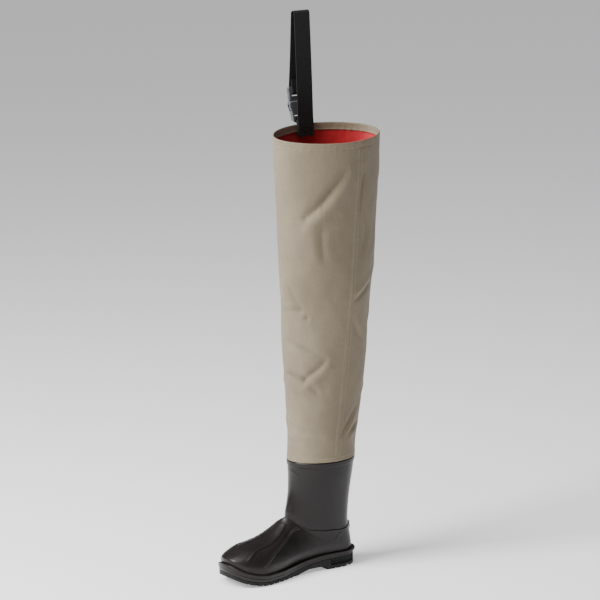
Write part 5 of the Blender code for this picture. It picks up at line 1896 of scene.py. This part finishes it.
    def webbing(self, name: str, path: list[tuple[float, float]], node: str) -> Object:
        """A woven strap: a flat section with round selvedges carried along a rounded path.

        Args:
            name: The piece's name.
            path: (outwards, up) points.
            node: The solid that it stands for.

        Returns:
            The piece.
        """
        knots = np.array(path)
        length = np.concatenate([[0.0], np.cumsum(np.linalg.norm(np.diff(knots, axis=0), axis=1))])
        at = np.linspace(0.0, length[-1], max(60, round(length[-1] / self.step)))
        line = np.stack([np.interp(at, length, knots[:, k]) for k in (0, 1)], axis=1)
        soft = line.copy()
        for _ in range(2):
            soft[1:-1] = (soft[:-2] + 2 * soft[1:-1] + soft[2:]) / 4
        ahead = np.gradient(soft, axis=0)
        ahead /= np.linalg.norm(ahead, axis=1, keepdims=True)
        normal = np.column_stack([-ahead[:, 1], ahead[:, 0]])
        half, flat = self.thick / 2, self.width / 2 - self.thick / 2
        turn = np.linspace(-np.pi / 2, np.pi / 2, 7)
        ribs = np.linspace(-1, 1, 19)[1:-1]
        swell = 1.0 - self.rib_swell * np.cos(ribs * np.pi * 9)
        section = np.concatenate([
            np.column_stack([flat + half * np.cos(turn), half * np.sin(turn)]),
            np.column_stack([-ribs * flat, half * swell]),
            np.column_stack([-flat - half * np.cos(turn), -half * np.sin(turn)]),
            np.column_stack([ribs * flat, -half * swell])])
        offset = section[None, :, 1, None] * normal[:, None, :]
        across = np.broadcast_to(section[None, :, 0], (len(soft), len(section)))
        points = np.concatenate([across[..., None], soft[:, None] + offset], axis=-1)
        ring = np.concatenate([[0.0], np.cumsum(np.linalg.norm(
            np.diff(np.vstack([section, section[:1]]), axis=0), axis=1))])
        uv = np.stack(np.broadcast_arrays(ring[None, :], at[:, None]), axis=-1)
        first, final = points[:1].mean(axis=1, keepdims=True), points[-1:].mean(axis=1, keepdims=True)
        cap = np.broadcast_to(first, (1, len(section), 3)), np.broadcast_to(final, (1, len(section), 3))
        points = np.concatenate([cap[0], points, cap[1]])
        uv = np.concatenate([uv[:1], uv, uv[-1:]])
        surface = grid(placed(points.reshape(-1, 3), self.collar).reshape(points.shape), uv)
        made = piece(name, surface, [self.finishes.webbing], sharp=50.0)
        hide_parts(node)
        return made

    def build_stitching(self) -> Object:
        """Black box-and-cross stitches through the sewn ends, on the inner ply.

        Returns:
            The piece.
        """
        face = self.strap_inner - self.thick / 2
        wide, low, high = 15 * MM, -21 * MM, -4 * MM
        corners = [(-wide, low), (wide, low), (wide, high), (-wide, high)]
        runs = [(corners[0], corners[1]), (corners[1], corners[2]), (corners[2], corners[3]),
                (corners[3], corners[0]), (corners[0], corners[2]), (corners[1], corners[3])]
        rows = []
        for start, stop in runs:
            line = np.array([(start[0], face, start[1]), (stop[0], face, stop[1])])
            places, ahead = along_line(line, self.stitch_pitch)
            outward = np.tile((0.0, -1.0, 0.0), (len(places), 1))
            turn = Matrix(self.collar)
            turn.translation = (0, 0, 0)
            rows.append(stitches(placed(places, self.collar), placed(ahead, turn), placed(outward, turn),
                                 self.stitch_length, self.thread))
        return piece("strap_stitching", joined(rows), [self.finishes.black_thread])

    def plate(self, name: str, outline: list[tuple[float, float]], thick: float, corner: float,
              crown: float) -> Object:
        """A moulded plate: its outline rounded at the corners, its edge a half round, its faces crowned.

        Args:
            name: The piece's name.
            outline: (across, up) corners, anticlockwise.
            thick: Thickness at the middle.
            corner: Radius of the corners.
            crown: How much thinner the plate is at its rim.

        Returns:
            The piece, in the wader's frame.
        """
        rounded = self.rounded(np.array(outline), corner)
        ahead = np.roll(rounded, -1, axis=0) - np.roll(rounded, 1, axis=0)
        ahead /= np.linalg.norm(ahead, axis=1, keepdims=True)
        inward = np.column_stack([-ahead[:, 1], ahead[:, 0]])
        centre = rounded.mean(axis=0)
        soft = self.edge_round
        half = thick / 2 - crown
        rings = []
        for turn in np.linspace(-np.pi / 2, np.pi / 2, 9):
            ring = rounded + inward * soft * (1 - math.cos(turn))
            level = math.sin(turn) * soft + math.copysign(half - soft, turn) * (abs(turn) > 1e-9)
            rings.append((ring, level))
        edge = rounded + inward * soft
        inner_shares = (0.85, 0.6, 0.3, 0.0)
        low = [(centre + (edge - centre) * share, -half - crown * (1 - share ** 2))
               for share in reversed(inner_shares)]
        high = [(centre + (edge - centre) * share, half + crown * (1 - share ** 2))
                for share in inner_shares]
        stack = [np.column_stack([ring[:, 0], np.full(len(ring), level), ring[:, 1]])
                 for ring, level in (*low, *rings, *high)]
        points = np.stack(stack)
        uv = np.concatenate([points[:, :, ::2], points[:, :1, ::2]], axis=1)
        surface = grid(placed(points.reshape(-1, 3), self.buckle).reshape(points.shape), uv)
        return piece(name, surface, [self.finishes.plastic], sharp=40.0)

    @staticmethod
    def rounded(corners: Array, radius: float) -> Array:
        """An outline whose corners are rounded by short curves.

        Each corner becomes a quadratic curve between the points a radius before and after it.

        Args:
            corners: n x 2.
            radius: Distance from a corner to its curve's ends.

        Returns:
            The rounded outline.
        """
        before, after = np.roll(corners, 1, axis=0), np.roll(corners, -1, axis=0)
        back, on = before - corners, after - corners
        reach_back = np.minimum(radius, np.linalg.norm(back, axis=1) * 0.45)[:, None]
        reach_on = np.minimum(radius, np.linalg.norm(on, axis=1) * 0.45)[:, None]
        start = corners + back / np.linalg.norm(back, axis=1, keepdims=True) * reach_back
        stop = corners + on / np.linalg.norm(on, axis=1, keepdims=True) * reach_on
        t = np.linspace(0, 1, 7)[None, :, None]
        curve = start[:, None] * (1 - t) ** 2 + corners[:, None] * 2 * t * (1 - t) + stop[:, None] * t ** 2
        return curve.reshape(-1, 2)

    def soften(self, body: Object, node: str) -> None:
        """Round the edges that the cuts left, and let the piece stand for its solid.

        Args:
            body: The cut piece.
            node: The solid that it stands for.
        """
        bevel = body.modifiers.new("softened_edges", "BEVEL")
        bevel.width = self.softening
        bevel.segments = 2
        bevel.limit_method = "ANGLE"
        bevel.angle_limit = math.radians(55)
        body.data.shade_smooth()
        body.data.set_sharp_from_angle(angle=math.radians(40))
        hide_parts(node)

    def build_socket(self) -> Object:
        """Socket: crowned plate with a slot and bar for the tab and a window in each side.

        Returns:
            The piece.
        """
        foot, shoulder, tall = self.socket_width / 2, self.shoulder_width / 2, self.socket_height
        side = [(foot, 0.0), (foot + 1.5 * MM, 0.45 * tall), (shoulder, 0.72 * tall),
                (shoulder, 0.92 * tall), (shoulder - 2 * MM, tall)]
        outline = side + [(-x, z) for x, z in reversed(side)]
        socket = self.plate("buckle_body", outline, self.socket_thick, self.corner, 0.6 * MM)
        half_slot, bar_top = self.slot_width / 2, self.bar_centre + self.bar / 2
        slot_top, deep, wide = bar_top + 4.6 * MM, self.socket_thick, self.shoulder_width
        thinned = [((-half_slot, half_slot), (self.bar / 2, deep), (-deep, slot_top)),
                   ((-half_slot, half_slot), (-deep, -self.bar / 2), (-deep, slot_top))]
        release = (self.release[0] * tall, self.release[1] * tall)
        thinned += [(tuple(sorted((hand * (foot - 4.5 * MM), hand * wide))),
                     (-self.release_depth, self.release_depth), release) for hand in (-1, 1)]
        through = [((-half_slot, half_slot), (-deep, deep), (bar_top, slot_top)),
                   ((-half_slot, half_slot), (-deep, deep), (-deep, self.bar_centre - self.bar / 2))]
        cut(socket, [boxes(thinned, self.buckle), boxes(through, self.buckle)])
        self.soften(socket, "buckle_socket")
        return socket

    def build_plug(self) -> Object:
        """Plug: crowned plate with the strap's slot and grip ribs below it.

        Returns:
            The piece.
        """
        half, low = self.plug_width / 2, self.plug_base
        high = low + self.plug_height
        side = [(self.shoulder_width / 2 - 2 * MM, low), (half, low + 3 * MM),
                (half - 1 * MM, low + 0.55 * self.plug_height), (half, high - 3 * MM), (half - 3 * MM, high)]
        outline = side + [(-x, z) for x, z in reversed(side)]
        plug = self.plate("buckle_insert", outline, self.plug_thick, self.corner, 0.4 * MM)
        half_slot = self.slot_width / 2
        slot = [((-half_slot, half_slot), (-self.plug_thick, self.plug_thick),
                 (self.plug_slot, self.plug_slot + self.slot_height))]
        lines = [((-half + 6 * MM, half - 6 * MM), span, (low + start, low + start + 0.9 * MM))
                 for start in self.grip_lines
                 for span in ((self.plug_thick / 2 - 0.5 * MM, self.plug_thick),
                              (-self.plug_thick, -self.plug_thick / 2 + 0.5 * MM))]
        cut(plug, [boxes(slot, self.buckle), boxes(lines, self.buckle)])
        self.soften(plug, "buckle_plug")
        return plug

    def build_prongs(self) -> Object:
        """The plug's two springy prongs, whose ribbed thumb pads show in the socket's windows.

        A pad is a bar that bows outwards as a half sine, with round ribs across its outer face.

        Returns:
            The piece.
        """
        tall = self.socket_height
        up = np.linspace(self.pad[0] * tall, self.pad[1] * tall, 60)
        t = (up - up[0]) / (up[-1] - up[0])
        arch = np.sin(np.pi * t)
        bow = self.pad_bow * arch + self.pad_rib * np.abs(np.sin(4.5 * np.pi * t)) * arch ** 0.4
        inner = self.socket_width / 2 - 4.2 * MM
        outer = self.socket_width / 2 + 2.0 * MM + bow
        turn = np.linspace(0, 2 * np.pi, 21)[:-1]
        across, deep = np.cos(turn), np.sin(turn)
        square = 0.35
        across = np.sign(across) * np.abs(across) ** square
        deep = np.sign(deep) * np.abs(deep) ** square * 1.55 * MM
        ends = np.sqrt(np.clip(1 - (2 * t - 1) ** 10, 0, 1))
        parts = []
        for hand in (-1, 1):
            middle, half = (inner + outer) / 2, (outer - inner) / 2 * ends
            x = hand * (middle[:, None] + half[:, None] * across[None, :])
            y = np.broadcast_to(deep[None, :] * ends[:, None], x.shape)
            points = np.stack([x, y, np.broadcast_to(up[:, None], x.shape)], axis=-1)
            if hand > 0:
                points = points[::-1]
            shape = grid(placed(points.reshape(-1, 3), self.buckle).reshape(points.shape),
                         np.zeros((len(up), len(turn) + 1, 2)))
            parts.append(shape)
        return piece("buckle_prongs", joined(parts), [self.finishes.plastic], sharp=60.0)

    def build(self) -> None:
        """Build the strap, the tab, their stitching and the buckle."""
        self.webbing("belt_loop_strap", self.strap_path(), "hip_strap")
        self.webbing("buckle_tab_webbing", self.tab_path(), "buckle_tab")
        self.build_stitching()
        self.build_socket()
        self.build_plug()
        self.build_prongs()


# The studio

@dataclass
class Studio:
    """Camera at the photograph's angle, pale floor and soft lights."""

    azimuth: float = 54.753
    elevation: float = 11.498
    roll: float = -0.569
    distance: float = 5.6
    lens: float = 175.0
    middle: Vector = field(default_factory=lambda: Vector((0.0, 0.0, 0.5)))
    aim_across: float = -0.0600
    aim_up: float = 0.0214
    floor_size: float = 60.0
    floor_glow: float = 0.42
    sky: float = 0.15

    def axes(self) -> tuple[Vector, Vector, Vector]:
        """The camera's directions right, up and back, rolled.

        Returns:
            The three unit vectors.
        """
        az, el, roll = (math.radians(a) for a in (self.azimuth, self.elevation, self.roll))
        back = Vector((math.sin(az) * math.cos(el), -math.cos(az) * math.cos(el), math.sin(el)))
        right = Vector((math.cos(az), math.sin(az), 0.0))
        up = back.cross(right)
        return (right * math.cos(roll) + up * math.sin(roll),
                up * math.cos(roll) - right * math.sin(roll), back)

    def build_camera(self) -> None:
        """Camera on its fitted line of sight, turned so that the whole wader stands in the frame."""
        right, up, back = self.axes()
        place = self.middle + back * self.distance
        aim = self.middle + right * self.aim_across + up * self.aim_up
        toward = (place - aim).normalized()
        across = (right - toward * right.dot(toward)).normalized()
        turn = Matrix((across, toward.cross(across), toward)).transposed()
        data = bpy.data.cameras.new("camera")
        data.lens = self.lens
        data.sensor_width = 36.0
        data.clip_end = 200.0
        camera = bpy.data.objects.new("camera", data)
        camera.matrix_world = Matrix.Translation(place) @ turn.to_4x4()
        bpy.context.scene.collection.objects.link(camera)
        bpy.context.scene.camera = camera

    def build_floor(self) -> None:
        """Plain pale floor."""
        half = self.floor_size / 2
        mesh = bpy.data.meshes.new("studio_floor")
        corners = [(-half, -half, 0), (half, -half, 0), (half, half, 0), (-half, half, 0)]
        mesh.from_pydata(corners, [], [(0, 1, 2, 3)])
        floor = bpy.data.objects.new("studio_floor", mesh)
        shader = Shader("pale_floor")
        shader.set("Base Color", (0.90, 0.90, 0.90, 1.0))
        shader.set("Roughness", 0.9)
        shader.set("Emission Color", (1.0, 1.0, 1.0, 1.0))
        shader.set("Emission Strength", self.floor_glow)
        mesh.materials.append(shader.material)
        bpy.context.scene.collection.objects.link(floor)
        floor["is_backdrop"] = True

    def area_light(self, name: str, azimuth: float, elevation: float, distance: float, size: float,
                   power: float) -> None:
        """A square soft light that looks at the middle of the wader.

        Args:
            name: The light's name.
            azimuth: Degrees, 0 in front of the toe and 90 at the inner side.
            elevation: Degrees above the horizon.
            distance: From the wader's middle.
            size: Side of the light.
            power: Watts.
        """
        az, el = math.radians(azimuth), math.radians(elevation)
        way = Vector((math.sin(az) * math.cos(el), -math.cos(az) * math.cos(el), math.sin(el)))
        data = bpy.data.lights.new(name, "AREA")
        data.size = size
        data.energy = power
        light = bpy.data.objects.new(name, data)
        turn = way.to_track_quat("Z", "Y").to_matrix().to_4x4()
        light.matrix_world = Matrix.Translation(self.middle + way * distance) @ turn
        bpy.context.scene.collection.objects.link(light)

    def build_world(self) -> None:
        """Even pale surroundings."""
        world = bpy.data.worlds.new("studio")
        world.use_nodes = True
        world.node_tree.nodes["Background"].inputs["Color"].default_value = (1.0, 1.0, 1.0, 1.0)
        world.node_tree.nodes["Background"].inputs["Strength"].default_value = self.sky
        bpy.context.scene.world = world

    def build(self) -> None:
        """Set up the whole studio."""
        self.build_camera()
        self.build_floor()
        self.build_world()
        self.area_light("key", azimuth=-4.0, elevation=34.0, distance=3.4, size=1.6, power=250.0)
        self.area_light("front", azimuth=30.0, elevation=18.0, distance=4.2, size=1.4, power=8.0)
        self.area_light("top", azimuth=10.0, elevation=66.0, distance=3.2, size=2.2, power=85.0)


def write_sizes() -> None:
    """Log how far the dressed wader's box grew past the solids' box, corner by corner."""
    dressed_box = [list(corner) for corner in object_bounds()]
    growth = [round(1000 * (b - a), 1) for ends in zip(CAD_BOX, dressed_box) for a, b in zip(*ends)]
    log.info("growth of the box, lowest and highest corner in mm: %s", growth)


def main() -> None:
    """Build the studio and the wader's sub-assemblies in order."""
    logging.basicConfig(level=logging.INFO, format="%(name)s: %(message)s")
    Studio().build()
    finishes = Finishes()
    plan = SolePlan()
    last = Last(plan)
    sole = SoleUnit(plan, finishes)
    sole.build_outsole()
    sole.build_band()
    boot = Boot(last, finishes)
    boot.build_upper()
    boot.dress_insole()
    leg = Leg(last, finishes)
    leg.build_cloth()
    leg.build_stitching()
    HipStrap(leg, finishes).build()
    write_sizes()


if __name__ == "__main__":
    main()
